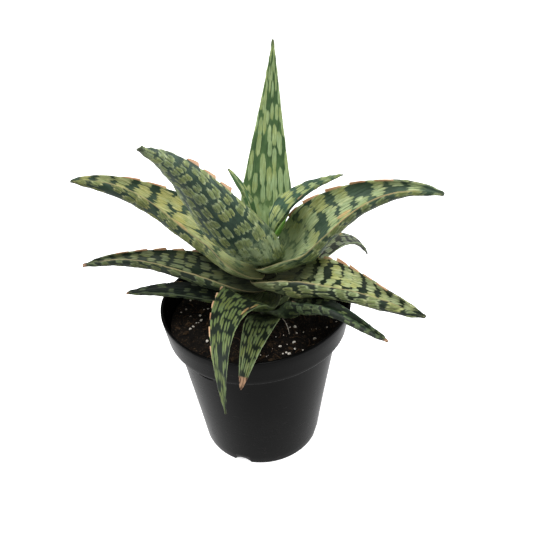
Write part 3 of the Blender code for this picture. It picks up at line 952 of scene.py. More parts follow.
def build_leaf(number, leaf, nest, look):
    rng = np.random.default_rng(FIRST_SEED + number)
    grid = leaf_grid(leaf, HIDDEN_COARSER if number in HIDDEN_LEAVES else 1.0)
    along, lateral, _, depth, half, rim = grid
    strengths = TOOTH_SHARES.get(number, USUAL_TEETH)
    teeth_from = TEETH_FROM.get(number, 0.0)
    right, left = (tooth_heights(leaf, along, s, teeth_from, rng)[:, None] for s in strengths)
    teeth = np.where(lateral < 0, right, left)
    near_margin = np.clip(1 - (np.abs(half) - np.abs(lateral)) / TOOTH_ROOT, 0.0, 1.0)
    inner, outer, out = plain_faces(leaf, grid, teeth * near_margin**1.2, nest)

    upper_kind, lower_kind = LEAF_MARKINGS[number]
    upper, upper_tone, _ = marking_field(upper_kind, leaf, along, lateral, rng)
    under, under_tone, central = marking_field(lower_kind, leaf, along, lateral, rng)
    raise_spots((inner, outer), out, ripple(leaf, along, lateral, rng), upper, under, depth, rim)
    rings = both(inner, outer)
    faces = ring_faces(len(along), rings.shape[1], lateral.shape[1])

    share = np.repeat(along[:, None] / leaf["length"], lateral.shape[1], axis=1)
    walk = share * leaf["length"]
    nothing = 0 * share
    worn = stain_field(number, leaf, along, lateral)
    distance = np.minimum(np.abs(half) - np.abs(lateral), 9.0)
    dry = DRY_TIPS.get(number, 0.0)
    dried = smooth((share - (1 - dry)) / 0.05 + 0.5) * (dry > 0)
    on_tooth = teeth * near_margin
    bare = np.where(lateral < 0, *(strength < BARE_MARGIN for strength in strengths)) * 1.0
    facts = {
        "leaf_mm": facts_of((lateral, lateral), (walk, walk), (nothing, nothing + OUTER_FACE_AWAY)),
        "marks": facts_of((upper, under), (upper_tone, under_tone), (nothing, central)),
        "margin": facts_of((distance, distance), (on_tooth, on_tooth), (share, share)),
        "worn": facts_of((worn, worn * 0.15), (dried, dried), (bare, bare)),
    }
    made = mesh_object(f"leaf_{number:02d}_skin", rings.reshape(-1, 3), faces, look, facts)
    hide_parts(f"leaf_{number:02d}")
    return len(faces)


print("facts of a leaf: leaf_mm, marks, margin, worn")

# %% [markdown]
# The skin group turns those facts into colour. It hands out a colour, a roughness and a height, and
# knows nothing of the shader. The facts, a seed and five colours go in, and three numbers say how
# much the markings feather, how young the leaf is and how much painted shade darkens its base.

# %% Leaf skin sockets
COLOUR = "NodeSocketColor"
NUMBER = "NodeSocketFloat"
VECTOR = "NodeSocketVector"
SKIN_INPUTS = (
    ("Place", VECTOR, None),
    ("Marks", VECTOR, None),
    ("Margin", VECTOR, None),
    ("Worn", VECTOR, None),
    ("Seed", NUMBER, 0.0),
    ("Deep", COLOUR, (0.03, 0.05, 0.035, 1.0)),
    ("Pale", COLOUR, (0.36, 0.42, 0.20, 1.0)),
    ("Olive", COLOUR, (0.12, 0.16, 0.05, 1.0)),
    ("Fresh", COLOUR, (0.20, 0.32, 0.12, 1.0)),
    ("Rim", COLOUR, (0.45, 0.40, 0.20, 1.0)),
    ("Feather", NUMBER, 0.5),
    ("Young", NUMBER, 0.0),
    ("Shade", NUMBER, 0.0),
)
SKIN_OUTPUTS = (("Colour", COLOUR), ("Roughness", NUMBER), ("Height", NUMBER))
print("inputs of the leaf skin:", len(SKIN_INPUTS))

# %% [markdown]
# An aloe's skin is lined along its veins, so the noise is stretched that way: many lumps in a
# millimetre across the leaf, and few along it. All layers of the skin share the same five noises,
# which keeps the lines, the feathered edges and the veins in step.

# %% Noise along the veins
# How many lumps in a millimetre across the leaf and along it, and the detail
SKIN_NOISES = {
    "vein": (1.05, 0.07, 2.0),
    "streak": (1.9, 0.20, 3.0),
    "fine": (3.4, 0.5, 2.0),
    "cloud": (0.16, 0.10, 2.0),
    "patch": (0.42, 0.22, 3.0),
}


def skin_noises(g, given):
    seed = g.nodes.new("ShaderNodeCombineXYZ")
    link(g, given["Seed"], seed.inputs[2])
    made = {}
    for name, (across, along, detail) in SKIN_NOISES.items():
        place = stretched(g, given["Place"], (across, along, 1.0), seed.outputs[0])
        made[name] = noise_node(g, place, 1.0, detail, 0.6)
    return made


print("noises of the leaf skin:", sorted(SKIN_NOISES))

# %% [markdown]
# A marking is pale, with a tone for each finger and fine lines along it. The blocks of the lower face
# keep a pale rim round an olive middle. Between the markings the leaf is blue-green, with lighter
# clouds and dark veins.

# %% Colours of the markings
GREYER = (1.00, 1.06, 1.22)
YELLOWER = (1.12, 1.02, 0.80)
LIGHTEST = (1.75, 1.60, 1.90)
MISTY = (2.2, 1.8, 2.0)
DARKEST = (0.6, 0.6, 0.7)


def marking_colour(g, given, noises, inside, tone, central):
    warm = ramp(g, times_plus(g, tone, 0.22, noises["cloud"]), 0.30, 0.80)
    greyer, yellower, lightest = (
        tinted(g, given["Pale"], tint) for tint in (GREYER, YELLOWER, LIGHTEST)
    )
    pale = mix_colour(g, warm, greyer, yellower)
    pale = mix_colour(g, ramp(g, noises["vein"], 0.52, 0.64, 0.0, 0.55), pale, lightest)
    lines = ramp(g, noises["streak"], 0.42, 0.56, 1.0, 0.0)
    pale = mix_colour(g, times(g, lines, 0.42), pale, given["Olive"])
    middle = ramp(g, times_plus(g, noises["streak"], 0.35, central), 0.32, 0.72, 0.0, 0.75)
    core = times(g, ramp(g, inside, -0.05, 0.20), middle)
    olive = mix_colour(g, times(g, lines, 0.8), given["Olive"], given["Deep"])
    return mix_colour(g, core, pale, olive)


def between_colour(g, given, noises):
    misty = tinted(g, given["Deep"], MISTY)
    darkest = tinted(g, given["Deep"], DARKEST)
    deep = mix_colour(g, ramp(g, noises["cloud"], 0.35, 0.7), given["Deep"], misty)
    return mix_colour(g, ramp(g, noises["vein"], 0.30, 0.48, 0.55, 0.0), deep, darkest)


print("tint of the palest markings:", LIGHTEST)

# %% [markdown]
# The youngest part of a leaf is near its base, so the colour there is fresher and less contrasted.
# On an old, low leaf the clasping base lies under the younger ones and is darkened instead: painted
# shade.

# %% Colours of the base
BASE_SHADE_TINT = (0.22, 0.20, 0.16)


def freshened(g, given, noises, now, spot, share):
    base = ramp(g, share, 0.02, 0.30, 1.0, 0.0)
    patch = ramp(g, noises["patch"], 0.44, 0.58, 0.0, 0.75)
    low = ramp(g, share, 0.16, 0.30, 1.0, 0.0)
    now = mix_colour(g, times(g, patch, low), now, tinted(g, given["Pale"], GREYER))
    fresh = times(g, base, 0.62)
    fresh = math_node(g, "MAXIMUM", fresh, times(g, given["Young"], 0.50))
    fresh = times(g, fresh, times_plus(g, spot, -0.60, 1.0))
    return mix_colour(g, fresh, now, given["Fresh"])


# Painted shade: the base of a leaf that lies under the others is darkened and browned.
def with_base_shade(g, given, noises, now, share):
    shaded_base = ramp(g, times_plus(g, noises["cloud"], 0.10, share), 0.12, 0.34, 1.0, 0.0)
    shaded = tinted(g, now, BASE_SHADE_TINT)
    return mix_colour(g, times(g, shaded_base, given["Shade"]), now, shaded)


print("tint of an old leaf's base:", BASE_SHADE_TINT)

# %% [markdown]
# A thin line runs along the margin, and the teeth on it are horn. Scars and the dried tip are two
# browns each, broken up by the streaks and veins, so that they look grown rather than painted.

# %% Colours of margin and wear
HORN = ((0.46, 0.24, 0.13), (0.56, 0.36, 0.22))
TIP_GREEN = (0.045, 0.050, 0.022)
SCAR = ((0.30, 0.17, 0.06), (0.46, 0.36, 0.17))
DRIED = ((0.06, 0.032, 0.018), (0.33, 0.20, 0.12))


def with_margin(g, given, noises, now, margin, bare):
    edge, tooth, share = margin
    short_of_tip = ramp(g, share, 0.84, 0.93, 1.0, 0.0)
    line = ramp(g, times_plus(g, noises["streak"], -0.30, edge), -0.08, 0.16, 0.65, 0.0)
    line = times(g, line, times_plus(g, bare, 0.85, 0.15))
    now = mix_colour(g, times(g, line, short_of_tip), now, given["Rim"])
    horn = times(g, ramp(g, tooth, 0.25, 0.55, 0.0, 0.95), short_of_tip)
    now = mix_colour(g, horn, now, mix_colour(g, ramp(g, noises["cloud"], 0.3, 0.7), *HORN))
    return mix_colour(g, ramp(g, share, 0.965, 0.995, 0.0, 0.55), now, TIP_GREEN)


def with_wear(g, noises, now, worn, dry):
    scar = ramp(g, times_plus(g, noises["streak"], 0.5, worn), 0.42, 0.72, 0.0, 0.85)
    now = mix_colour(g, scar, now, mix_colour(g, ramp(g, noises["streak"], 0.35, 0.65), *SCAR))
    return mix_colour(g, dry, now, mix_colour(g, ramp(g, noises["vein"], 0.4, 0.6), *DRIED))


print("horn of the teeth:", HORN)

# %% [markdown]
# The group puts the layers on in the order in which they cover each other. Long noise along the veins
# feathers the ends of the fingers before anything is coloured. Markings are a little rougher and
# stand a little higher than the skin between them.

# %% Leaf skin group
def make_skin_group():
    g, given, result = new_group("leaf_skin", SKIN_INPUTS, SKIN_OUTPUTS)
    field, tone, central = split(g, given["Marks"])
    margin = split(g, given["Margin"])
    worn, dried, bare = split(g, given["Worn"])
    noises = skin_noises(g, given)

    shift = times(g, math_node(g, "SUBTRACT", noises["streak"], 0.5), given["Feather"])
    shift = times_plus(g, math_node(g, "SUBTRACT", noises["fine"], 0.5), 0.30, shift)
    inside = math_node(g, "ADD", field, shift)
    spot = ramp(g, inside, -0.12, 0.12)
    dry = ramp(g, times_plus(g, noises["streak"], 0.5, dried), 0.45, 0.95)

    pale = marking_colour(g, given, noises, inside, tone, central)
    now = mix_colour(g, spot, between_colour(g, given, noises), pale)
    now = freshened(g, given, noises, now, spot, margin[2])
    now = with_margin(g, given, noises, now, margin, bare)
    now = with_wear(g, noises, now, worn, dry)
    link(g, with_base_shade(g, given, noises, now, margin[2]), result["Colour"])

    rough = times_plus(g, noises["fine"], 0.12, times_plus(g, spot, 0.06, 0.42))
    link(g, times_plus(g, dry, 0.25, rough), result["Roughness"])
    height = times_plus(g, spot, 0.5, times(g, noises["fine"], 0.35))
    link(g, times_plus(g, noises["streak"], 0.7, height), result["Height"])
    return g


skin_group = make_skin_group()
print("skin group nodes:", len(skin_group.nodes))

# %% [markdown]
# Each leaf has colours of its own for the shared group: the old outer leaves are darker and duller,
# the young inner ones brighter. The low leaves also lie in the shade of those above them, so part of
# their darkness is painted shade.

# %% Leaf colours
DEEP = (0.016, 0.034, 0.019)
PALE = (0.235, 0.290, 0.125)
OLIVE = (0.090, 0.124, 0.030)
FRESH = (0.150, 0.215, 0.090)
TAN_RIM = (0.32, 0.27, 0.13)
GREEN_RIM = (0.20, 0.26, 0.12)
DARK_RIM = (0.05, 0.07, 0.03)
PLAIN_SKIN = {
    "Deep": DEEP,
    "Pale": PALE,
    "Olive": OLIVE,
    "Fresh": FRESH,
    "Rim": TAN_RIM,
    "Feather": 0.5,
    "Young": 0.0,
    "Shade": 0.0,
}
# leaf number: what differs from the plain skin. Shade says how much painted shade darkens the base.
SKIN = {
    1: {"Deep": (0.05, 0.12, 0.025), "Fresh": (0.14, 0.32, 0.045), "Rim": GREEN_RIM, "Young": 1.0},
    2: {"Deep": (0.022, 0.056, 0.022), "Fresh": (0.10, 0.20, 0.06), "Rim": GREEN_RIM, "Young": 0.45},
    3: {"Deep": (0.018, 0.046, 0.026), "Fresh": (0.12, 0.20, 0.08), "Rim": GREEN_RIM, "Young": 0.10},
    4: {
        "Deep": (0.024, 0.058, 0.016),
        "Pale": (0.19, 0.255, 0.105),
        "Fresh": (0.30, 0.42, 0.15),
        "Rim": GREEN_RIM,
        "Feather": 0.6,
    },
    5: {
        "Deep": (0.017, 0.040, 0.024),
        "Pale": (0.31, 0.37, 0.18),
        "Olive": (0.140, 0.182, 0.046),
        "Feather": 0.9,
    },
    6: {"Deep": (0.024, 0.048, 0.027), "Pale": (0.26, 0.31, 0.14)},
    7: {"Pale": (0.27, 0.285, 0.115), "Feather": 0.6},
    8: {
        "Deep": (0.007, 0.015, 0.007),
        "Pale": (0.30, 0.34, 0.155),
        "Fresh": (0.07, 0.10, 0.035),
        "Shade": 0.75,
    },
    9: {
        "Deep": (0.008, 0.016, 0.008),
        "Pale": (0.125, 0.150, 0.070),
        "Olive": (0.075, 0.10, 0.03),
        "Fresh": (0.05, 0.08, 0.04),
        "Shade": 0.8,
    },
    11: {
        "Deep": (0.005, 0.010, 0.006),
        "Pale": (0.105, 0.142, 0.050),
        "Fresh": (0.04, 0.07, 0.02),
        "Rim": GREEN_RIM,
        "Feather": 0.4,
        "Shade": 0.95,
    },
    12: {
        "Deep": (0.013, 0.018, 0.012),
        "Pale": (0.13, 0.148, 0.090),
        "Fresh": (0.05, 0.06, 0.035),
        "Rim": GREEN_RIM,
        "Feather": 0.6,
        "Shade": 0.5,
    },
    14: {
        "Deep": (0.005, 0.010, 0.006),
        "Pale": (0.068, 0.09, 0.05),
        "Fresh": (0.02, 0.04, 0.015),
        "Rim": DARK_RIM,
        "Shade": 0.9,
    },
    15: {
        "Deep": (0.004, 0.009, 0.004),
        "Pale": (0.095, 0.130, 0.055),
        "Olive": (0.045, 0.066, 0.024),
        "Fresh": (0.012, 0.022, 0.008),
        "Rim": DEEP,
        "Shade": 0.9,
    },
    18: {
        "Deep": (0.005, 0.010, 0.005),
        "Pale": (0.13, 0.170, 0.065),
        "Fresh": (0.03, 0.06, 0.018),
        "Rim": GREEN_RIM,
        "Feather": 0.4,
        "Shade": 0.95,
    },
}
print("leaves with a skin of their own:", sorted(SKIN))

# %% [markdown]
# The material reads the four facts from the mesh and hands them to the group. Its shader is a waxy
# skin with a trace of light scattered below it, which takes the hardness off the edges of a fleshy
# leaf.

# %% Leaf material
LEAF_FACTS = {"Place": "leaf_mm", "Marks": "marks", "Margin": "margin", "Worn": "worn"}
SEED_STEP = 7.3
SKIN_RELIEF = 0.00035


def leaf_material(number):
    made, shader = plain_material(f"leaf_{number:02d}_skin", PALE, 0.45)
    tree = made.node_tree
    values = {socket: fact(tree, name) for socket, name in LEAF_FACTS.items()}
    values["Seed"] = float(number * SEED_STEP)
    values.update({**PLAIN_SKIN, **SKIN.get(number, {})})
    skin = use_group(tree, skin_group, values)
    finish_shader(tree, shader, skin["Colour"], skin["Roughness"], skin["Height"], SKIN_RELIEF, 0.8)
    shader.inputs["Specular IOR Level"].default_value = 0.20
    shader.inputs["Subsurface Weight"].default_value = 0.05
    shader.inputs["Subsurface Radius"].default_value = (0.6, 1.0, 0.3)
    shader.inputs["Subsurface Scale"].default_value = 0.0012
    return made


print("facts that a leaf's material reads:", sorted(LEAF_FACTS))

# %% [markdown]
# Leaves are built from the youngest to the oldest, because each one needs to know where the nest's
# lowest surface lies before it can settle under it.

# %% Leaves
nest = Nest()
leaf_face_count = 0
for leaf_number, leaf_row in enumerate(LEAVES, start=1):
    leaf_values = dict(zip(FIELDS, leaf_row))
    leaf_face_count += build_leaf(leaf_number, leaf_values, nest, leaf_material(leaf_number))
print("leaf faces:", leaf_face_count)

# %% [markdown]
# The pot is one shot of black plastic, thin and slightly out of round where the rim has been
# squeezed. Its foot, its wall, the step out to the band and its lip are the solid's own values.

# %% Pot values
POT_HEIGHT = 98.0
POT_BASE_R = 36.5
POT_WALL_R = 46.4
POT_BAND_R = 50.7
POT_RIM_R = 53.0
POT_BAND = 17.0
POT_WALL = 1.2
POT_LIP = 1.8
POT_FLOOR = 2.0
POT_OVAL = 0.05
POT_OVAL_TURN = 0.05
POT_DENT = 0.022
POT_DENT_TURN = 0.36


def out_of_round(radius, z, angle):
    share = smooth(z / POT_HEIGHT)
    return radius * (
        1.0
        + share * POT_OVAL * np.cos(2 * (angle - POT_OVAL_TURN))
        + share * POT_DENT * np.cos(3 * (angle - POT_DENT_TURN))
    )


def wall_radius(z):
    """Outer radius of the plain wall under the band."""
    return POT_BASE_R + (POT_WALL_R - POT_BASE_R) * z / (POT_HEIGHT - POT_BAND)


print("radius of the wall under the band, mm:", round(wall_radius(POT_HEIGHT - POT_BAND), 1))

# %% [markdown]
# A turned shape needs only a profile of radius and height. The fine profile rounds each corner by up
# to a millimetre, because that is where moulded plastic catches the light, and has more points on its
# long stretches.

# %% Turned shapes
CORNER_RADIUS = 0.9
CORNER_STEPS = 4
LONGEST_STEP = 5.0


def rounded(corners):
    """The profile with a short curve at each corner."""
    made = [corners[0]]
    for three in zip(corners, corners[1:], corners[2:]):
        before, here, later = (np.array(corner, dtype=float) for corner in three)
        back, on = before - here, later - here
        reach = min(CORNER_RADIUS, 0.45 * np.linalg.norm(back), 0.45 * np.linalg.norm(on))
        first = here + back / np.linalg.norm(back) * reach
        last = here + on / np.linalg.norm(on) * reach
        for t in np.linspace(0.0, 1.0, CORNER_STEPS):
            made.append(tuple((1 - t) ** 2 * first + 2 * t * (1 - t) * here + t * t * last))
    made.append(corners[-1])
    return made


def subdivided(profile):
    """The profile with more points on its long stretches."""
    made = [profile[0]]
    for a, b in zip(profile, profile[1:]):
        count = max(1, int(math.dist(a, b) / LONGEST_STEP))
        made += [tuple(np.array(a) + (np.array(b) - a) * k / count) for k in range(1, count + 1)]
    return made


def turned(profile, sides):
    """Points and faces of a shape turned from (radius, z) rings, closed by a point at each end."""
    angles = 2 * np.pi * np.arange(sides) / sides
    points = [(0.0, 0.0, profile[0][1])]
    for radius, z in profile:
        r = out_of_round(radius, z, angles)
        points += np.stack([r * np.cos(angles), r * np.sin(angles), 0 * angles + z], -1).tolist()
    points.append((0.0, 0.0, profile[-1][1]))
    last = len(points) - 1
    faces = []
    for k in range(sides):
        after = (k + 1) % sides
        faces.append((0, 1 + after, 1 + k))
        for row in range(len(profile) - 1):
            low = 1 + row * sides
            high = low + sides
            faces.append((low + k, low + after, high + after, high + k))
        top = 1 + (len(profile) - 1) * sides
        faces.append((top + k, top + after, last))
    return points, faces


print("points of a rounded corner:", CORNER_STEPS)

# %% [markdown]
# Black plastic is never plain black. The mould leaves a fine grain and faint rings, handling leaves
# pale scuffs, and splashes of water dry to a dusty film near the foot. All of that is faint, so it is
# done in the material: it changes roughness more than colour. One small tear under the band at the
# front left, where the band stands off the wall, shows as a dark slit: painted shade in the gap.

# %% Pot material
# The middle of the tear's painted shade is in metres, as the place on the pot is, and the stretch
# makes it a level slit.
TEAR_SHADE_PLACE = (-0.0300, -0.0340, 0.0747)
TEAR_SHADE_STRETCH = (1.0, 1.0, 4.5)
TEAR_SHADE_EDGE = (0.0056, 0.0070)
BLACK = (0.0012, 0.0013, 0.0013)
WORN_BLACK = (0.0040, 0.0042, 0.0040)
SCUFF_GREY = (0.045, 0.047, 0.043)
DUST = (0.08, 0.075, 0.065)
TEAR_SHADE_BLACK = (0.0004, 0.0004, 0.0004)
POT_RELIEF = 0.00005


def tear_shade_mask(tree, place, ragged):
    """1 inside the tear's painted shade, with an edge that the ragged value breaks up."""
    away = tree.nodes.new("ShaderNodeVectorMath")
    away.operation = "LENGTH"
    shift = tuple(-scale * at for scale, at in zip(TEAR_SHADE_STRETCH, TEAR_SHADE_PLACE))
    link(tree, stretched(tree, place, TEAR_SHADE_STRETCH, shift), away.inputs[0])
    edge = times_plus(tree, ragged, 0.0015, away.outputs["Value"])
    return ramp(tree, edge, *TEAR_SHADE_EDGE, 1.0, 0.0)


def make_pot_material():
    made, shader = plain_material("pot_plastic", (0.02, 0.02, 0.021), 0.36)
    tree = made.node_tree
    place = object_place(tree)
    grain = noise_node(tree, place, 2600.0, 2.0)
    rings = noise_node(tree, stretched(tree, place, (25.0, 25.0, 900.0)), 1.0, 2.0)
    cloud = noise_node(tree, place, 42.0, 4.0, 0.6)
    scuff = noise_node(tree, stretched(tree, place, (90.0, 90.0, 520.0)), 1.0, 5.0, 0.7)
    scuff = ramp(tree, scuff, 0.62, 0.74)
    splash = ramp(tree, noise_node(tree, place, 320.0, 3.0, 0.65), 0.62, 0.72)
    foot = ramp(tree, split(tree, place)[2], 0.0, 0.030, 1.0, 0.15)
    dust = times(tree, splash, foot)
    tear_shade = tear_shade_mask(tree, place, splash)
    colour = mix_colour(tree, ramp(tree, cloud, 0.4, 0.75, 0.0, 0.7), BLACK, WORN_BLACK)
    colour = mix_colour(tree, times(tree, scuff, 0.35), colour, SCUFF_GREY)
    colour = mix_colour(tree, times(tree, dust, 0.25), colour, DUST)
    # Painted shade: the gap under the band is coloured near black.
    colour = mix_colour(tree, tear_shade, colour, TEAR_SHADE_BLACK)
    rough = times_plus(tree, cloud, 0.18, 0.16)
    for mark, duller in ((scuff, 0.16), (dust, 0.25), (tear_shade, 0.6)):
        rough = times_plus(tree, mark, duller, rough)
    relief = times_plus(tree, rings, 0.6, times(tree, grain, 0.4))
    finish_shader(tree, shader, colour, rough, relief, POT_RELIEF, 0.5)
    shader.inputs["Specular IOR Level"].default_value = 0.06
    return made


pot_look = make_pot_material()
print("pot material:", pot_look.name)

# %% [markdown]
# The slots at the foot let water drain. Each is the trace of a round bar. They are cut with one
# Boolean and the result is kept as a plain mesh, so that nothing is left to work out when the scene
# is rendered.

# %% Drain slots
SLOT_R = 5.5
SLOT_DEPTH = 1.5
SLOT_ANGLES = (70.0, 160.0, 250.0, 340.0)
SLOT_LENGTH = 11.0
SLOT_SIDES = 48


def drain_bars():
    """One round bar for each slot, lying across the pot's bottom edge."""
    bars = bmesh.new()
    for angle in SLOT_ANGLES:
        turn = math.radians(angle)
        outward = Vector((math.cos(turn), math.sin(turn), 0.0))
        bar = bmesh.ops.create_cone(
            bars,
            cap_ends=True,
            segments=SLOT_SIDES,
            radius1=SLOT_R,
            radius2=SLOT_R,
            depth=SLOT_LENGTH,
        )["verts"]
        place = outward * (POT_BASE_R - 1.0) - Vector((0, 0, SLOT_DEPTH))
        bmesh.ops.rotate(bars, verts=bar, matrix=outward.to_track_quat("Z", "Y").to_matrix())
        bmesh.ops.translate(bars, verts=bar, vec=place)
    bmesh.ops.scale(bars, verts=bars.verts, vec=(MM, MM, MM))
    mesh = bpy.data.meshes.new("drain_cutter")
    bars.to_mesh(mesh)
    bars.free()
    made = bpy.data.objects.new("drain_cutter", mesh)
    bpy.context.scene.collection.objects.link(made)
    return made


def cut_away(target, cutter):
    """Cuts the target's mesh once and for all, and removes the cutter."""
    boolean = target.modifiers.new("drains", "BOOLEAN")
    boolean.operation = "DIFFERENCE"
    boolean.solver = "EXACT"
    boolean.object = cutter
    graph = bpy.context.evaluated_depsgraph_get()
    mesh = bpy.data.meshes.new_from_object(target.evaluated_get(graph))
    target.modifiers.clear()
    target.data = mesh
    bpy.data.objects.remove(cutter)


print("drain slots:", len(SLOT_ANGLES))

# %% [markdown]
# The profile runs from the middle of the underside out over the foot, up the wall and the band, over
# the lip and down the inside to the floor.

# %% Pot
POT_SIDES = 240


def make_pot():
    band = POT_HEIGHT - POT_BAND
    profile = (
        (POT_BASE_R - 6.0, 0.0),
        (POT_BASE_R, 0.0),
        (POT_WALL_R, band),
        (POT_BAND_R, band),
        (POT_BAND_R + 0.5, band + 4.0),
        (POT_RIM_R, POT_HEIGHT),
        (POT_RIM_R - POT_LIP, POT_HEIGHT),
        (POT_RIM_R - POT_LIP, POT_HEIGHT - 1.6),
        (POT_BAND_R - POT_WALL, band + 1.6),
        (POT_WALL_R - POT_WALL, band + 0.6),
        (wall_radius(POT_FLOOR) - POT_WALL, POT_FLOOR),
        (POT_BASE_R - 8.0, POT_FLOOR),
    )
    points, faces = turned(subdivided(rounded(profile)), POT_SIDES)
    made = mesh_object("pot_body", points, faces, pot_look, sharp_angle=50.0)
    cut_away(made, drain_bars())
    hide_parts("pot")
    return made


pot = make_pot()
print("pot faces:", len(pot.data.polygons))

# %% [markdown]
# Potting mix is peat, bark and perlite. Its surface is built in three layers: a fine uneven sheet
# that keeps the solid's height, several hundred crumbs half sunk in it, and the larger things a
# viewer can name: flakes of bark, white perlite grains and brown fibres.

# %% Soil values
SOIL_TOP = 85.0
SOIL_RELIEF = 1.3
SOIL_EDGE_R = POT_BAND_R - POT_WALL - 0.9
GAP = 0.3
SHEET_SINK = 0.25


def soil_height(x, y):
    """The solid's own surface: crumbly, and a little higher round the stem."""
    lumps = noise.noise(Vector((x / 9.0, y / 9.0, 2.0)))
    lumps += 0.6 * noise.noise(Vector((x / 4.0, y / 4.0, 7.0)))
    mound = math.exp(-((x - STEM_X) ** 2 + y**2) / 500.0)
    return SOIL_TOP + SOIL_RELIEF * (lumps + mound)


def crumb_height(x, y):
    """Small lumps on top of the solid's surface."""
    spot = Vector((x, y, 0.0))
    coarse = noise.noise(spot / 2.3 + Vector((0, 0, 3.0)))
    fine = noise.noise(spot / 0.95 + Vector((0, 0, 9.0)))
    return 0.55 * abs(coarse) + 0.45 * abs(fine)


def sheet_height(x, y):
    """The fine sheet, sunk a little so that its lumps stand about the solid's level."""
    return soil_height(x, y) + crumb_height(x, y) - SHEET_SINK


print("soil beside the stem, mm:", round(sheet_height(STEM_X + STEM_R, 0.0), 1))

# %% [markdown]
# All the dark parts of the mix share one way of colouring: lumps of two tones, lighter specks, and a
# rough surface that hardly shines. The sheet, the crumbs, the bark and the threads each call it with
# their own pair of tones.

# %% Soil material
SPECK_BROWN = (0.10, 0.065, 0.035)
SOIL_ROUGHNESS = 0.98
CRUMB_RELIEF = 0.0006


def make_soil_material(name, dark, light, scale=1.0):
    made, shader = plain_material(name, dark, 0.95)
    tree = made.node_tree
    place = object_place(tree)
    lumps = noise_node(tree, place, 210.0 * scale, 4.0, 0.65)
    specks = noise_node(tree, place, 900.0 * scale, 2.0, 0.6)
    colour = mix_colour(tree, ramp(tree, lumps, 0.38, 0.68), dark, light)
    colour = mix_colour(tree, ramp(tree, specks, 0.60, 0.72, 0.0, 0.6), colour, SPECK_BROWN)
    rough = times_plus(tree, lumps, -0.25, SOIL_ROUGHNESS)
    relief = times_plus(tree, specks, 0.5, lumps)
    finish_shader(tree, shader, colour, rough, relief, CRUMB_RELIEF, 0.9)
    shader.inputs["Specular IOR Level"].default_value = 0.12
    return made


soil_look = make_soil_material("potting_mix", (0.0018, 0.0013, 0.0009), (0.0065, 0.0044, 0.0026))
print("soil material:", soil_look.name)

# %% [markdown]
# The sheet is the solid's own surface with far more points, so that it can carry crumbs of its own
# that are too small and too many to be pieces.

# %% Soil sheet
SOIL_RINGS = 78
SOIL_SIDES = 300


def make_soil():
    band = POT_HEIGHT - POT_BAND
    side = (
        (wall_radius(POT_FLOOR) - POT_WALL - 0.6, POT_FLOOR + GAP),
        (wall_radius(POT_FLOOR + 1.0) - POT_WALL - GAP, POT_FLOOR + 1.0),
        (POT_WALL_R - POT_WALL - GAP - 0.1, band + 0.6),
        (SOIL_EDGE_R, SOIL_TOP - 2.0),
    )
    tops = [(SOIL_EDGE_R * k / SOIL_RINGS, SOIL_TOP) for k in range(SOIL_RINGS, 0, -1)]
    points, faces = turned(list(side) + tops, SOIL_SIDES)
    points = np.array(points)
    first_top = 1 + len(side) * SOIL_SIDES
    for index in range(first_top, len(points)):
        points[index, 2] = sheet_height(*points[index, :2])
    made = mesh_object("soil_block", points, faces, soil_look)
    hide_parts("soil")
    return made


soil = make_soil()
print("soil faces:", len(soil.data.polygons))

# %% [markdown]
# Crumbs, flakes and grains are all small lumps with their own size, turn and squash. One helper makes
# a rough ball by pushing the points of an icosphere in and out, and another gathers many of them into
# one mesh, so that a thousand crumbs are one piece.

# %% Scattered lumps
def lump_shape(subdivisions):
    ball = bmesh.new()
    bmesh.ops.create_icosphere(ball, subdivisions=subdivisions, radius=1.0)
    points = np.array([v.co[:] for v in ball.verts])
    faces = np.array([[v.index for v in f.verts] for f in ball.faces])
    ball.free()
    return points, faces


def scatter(name, look, rows, rng, subdivisions, rough):
    """One mesh of many lumps. A row is x, y, sink, three radii and a lean in radians."""
    shape, shape_faces = lump_shape(subdivisions)
    points, faces, count = [], [], 0
    for x, y, sink, rx, ry, rz, lean in rows:
        swell = 1.0 + rough * rng.uniform(-1.0, 1.0, len(shape))
        lump = shape * swell[:, None] * (rx, ry, rz)
        turn = rng.uniform(0, 2 * math.pi)
        spin = np.array(Matrix.Rotation(turn, 3, "Z") @ Matrix.Rotation(lean, 3, "X"))
        lump = lump @ spin.T
        points.append(lump + (x, y, sheet_height(x, y) + rz * (1 - 2 * sink)))
        faces.append(shape_faces + count)
        count += len(shape)
    made = mesh_object(name, np.concatenate(points), np.concatenate(faces), look, sharp_angle=35.0)
    return made


def soil_places(rng, count, margin):
    """Places on the soil, clear of the stem and of the pot's wall."""
    made = []
    while len(made) < count:
        angle = rng.uniform(0, 2 * math.pi)
        radius = math.sqrt(rng.uniform(0, 1)) * (SOIL_EDGE_R - margin)
        r = float(out_of_round(radius, SOIL_TOP, angle))
        x, y = r * math.cos(angle), r * math.sin(angle)
        if math.hypot(x - STEM_X, y) > STEM_R + margin:
            made.append((x, y))
    return made


print("points of a fine lump:", len(lump_shape(2)[0]))

# %% [markdown]
# Crumbs sink more than halfway into the sheet, as if it were made of them. Bark comes in flat flakes
# that lie at an angle, and their lighter edges are what the eye picks out of the dark mix.

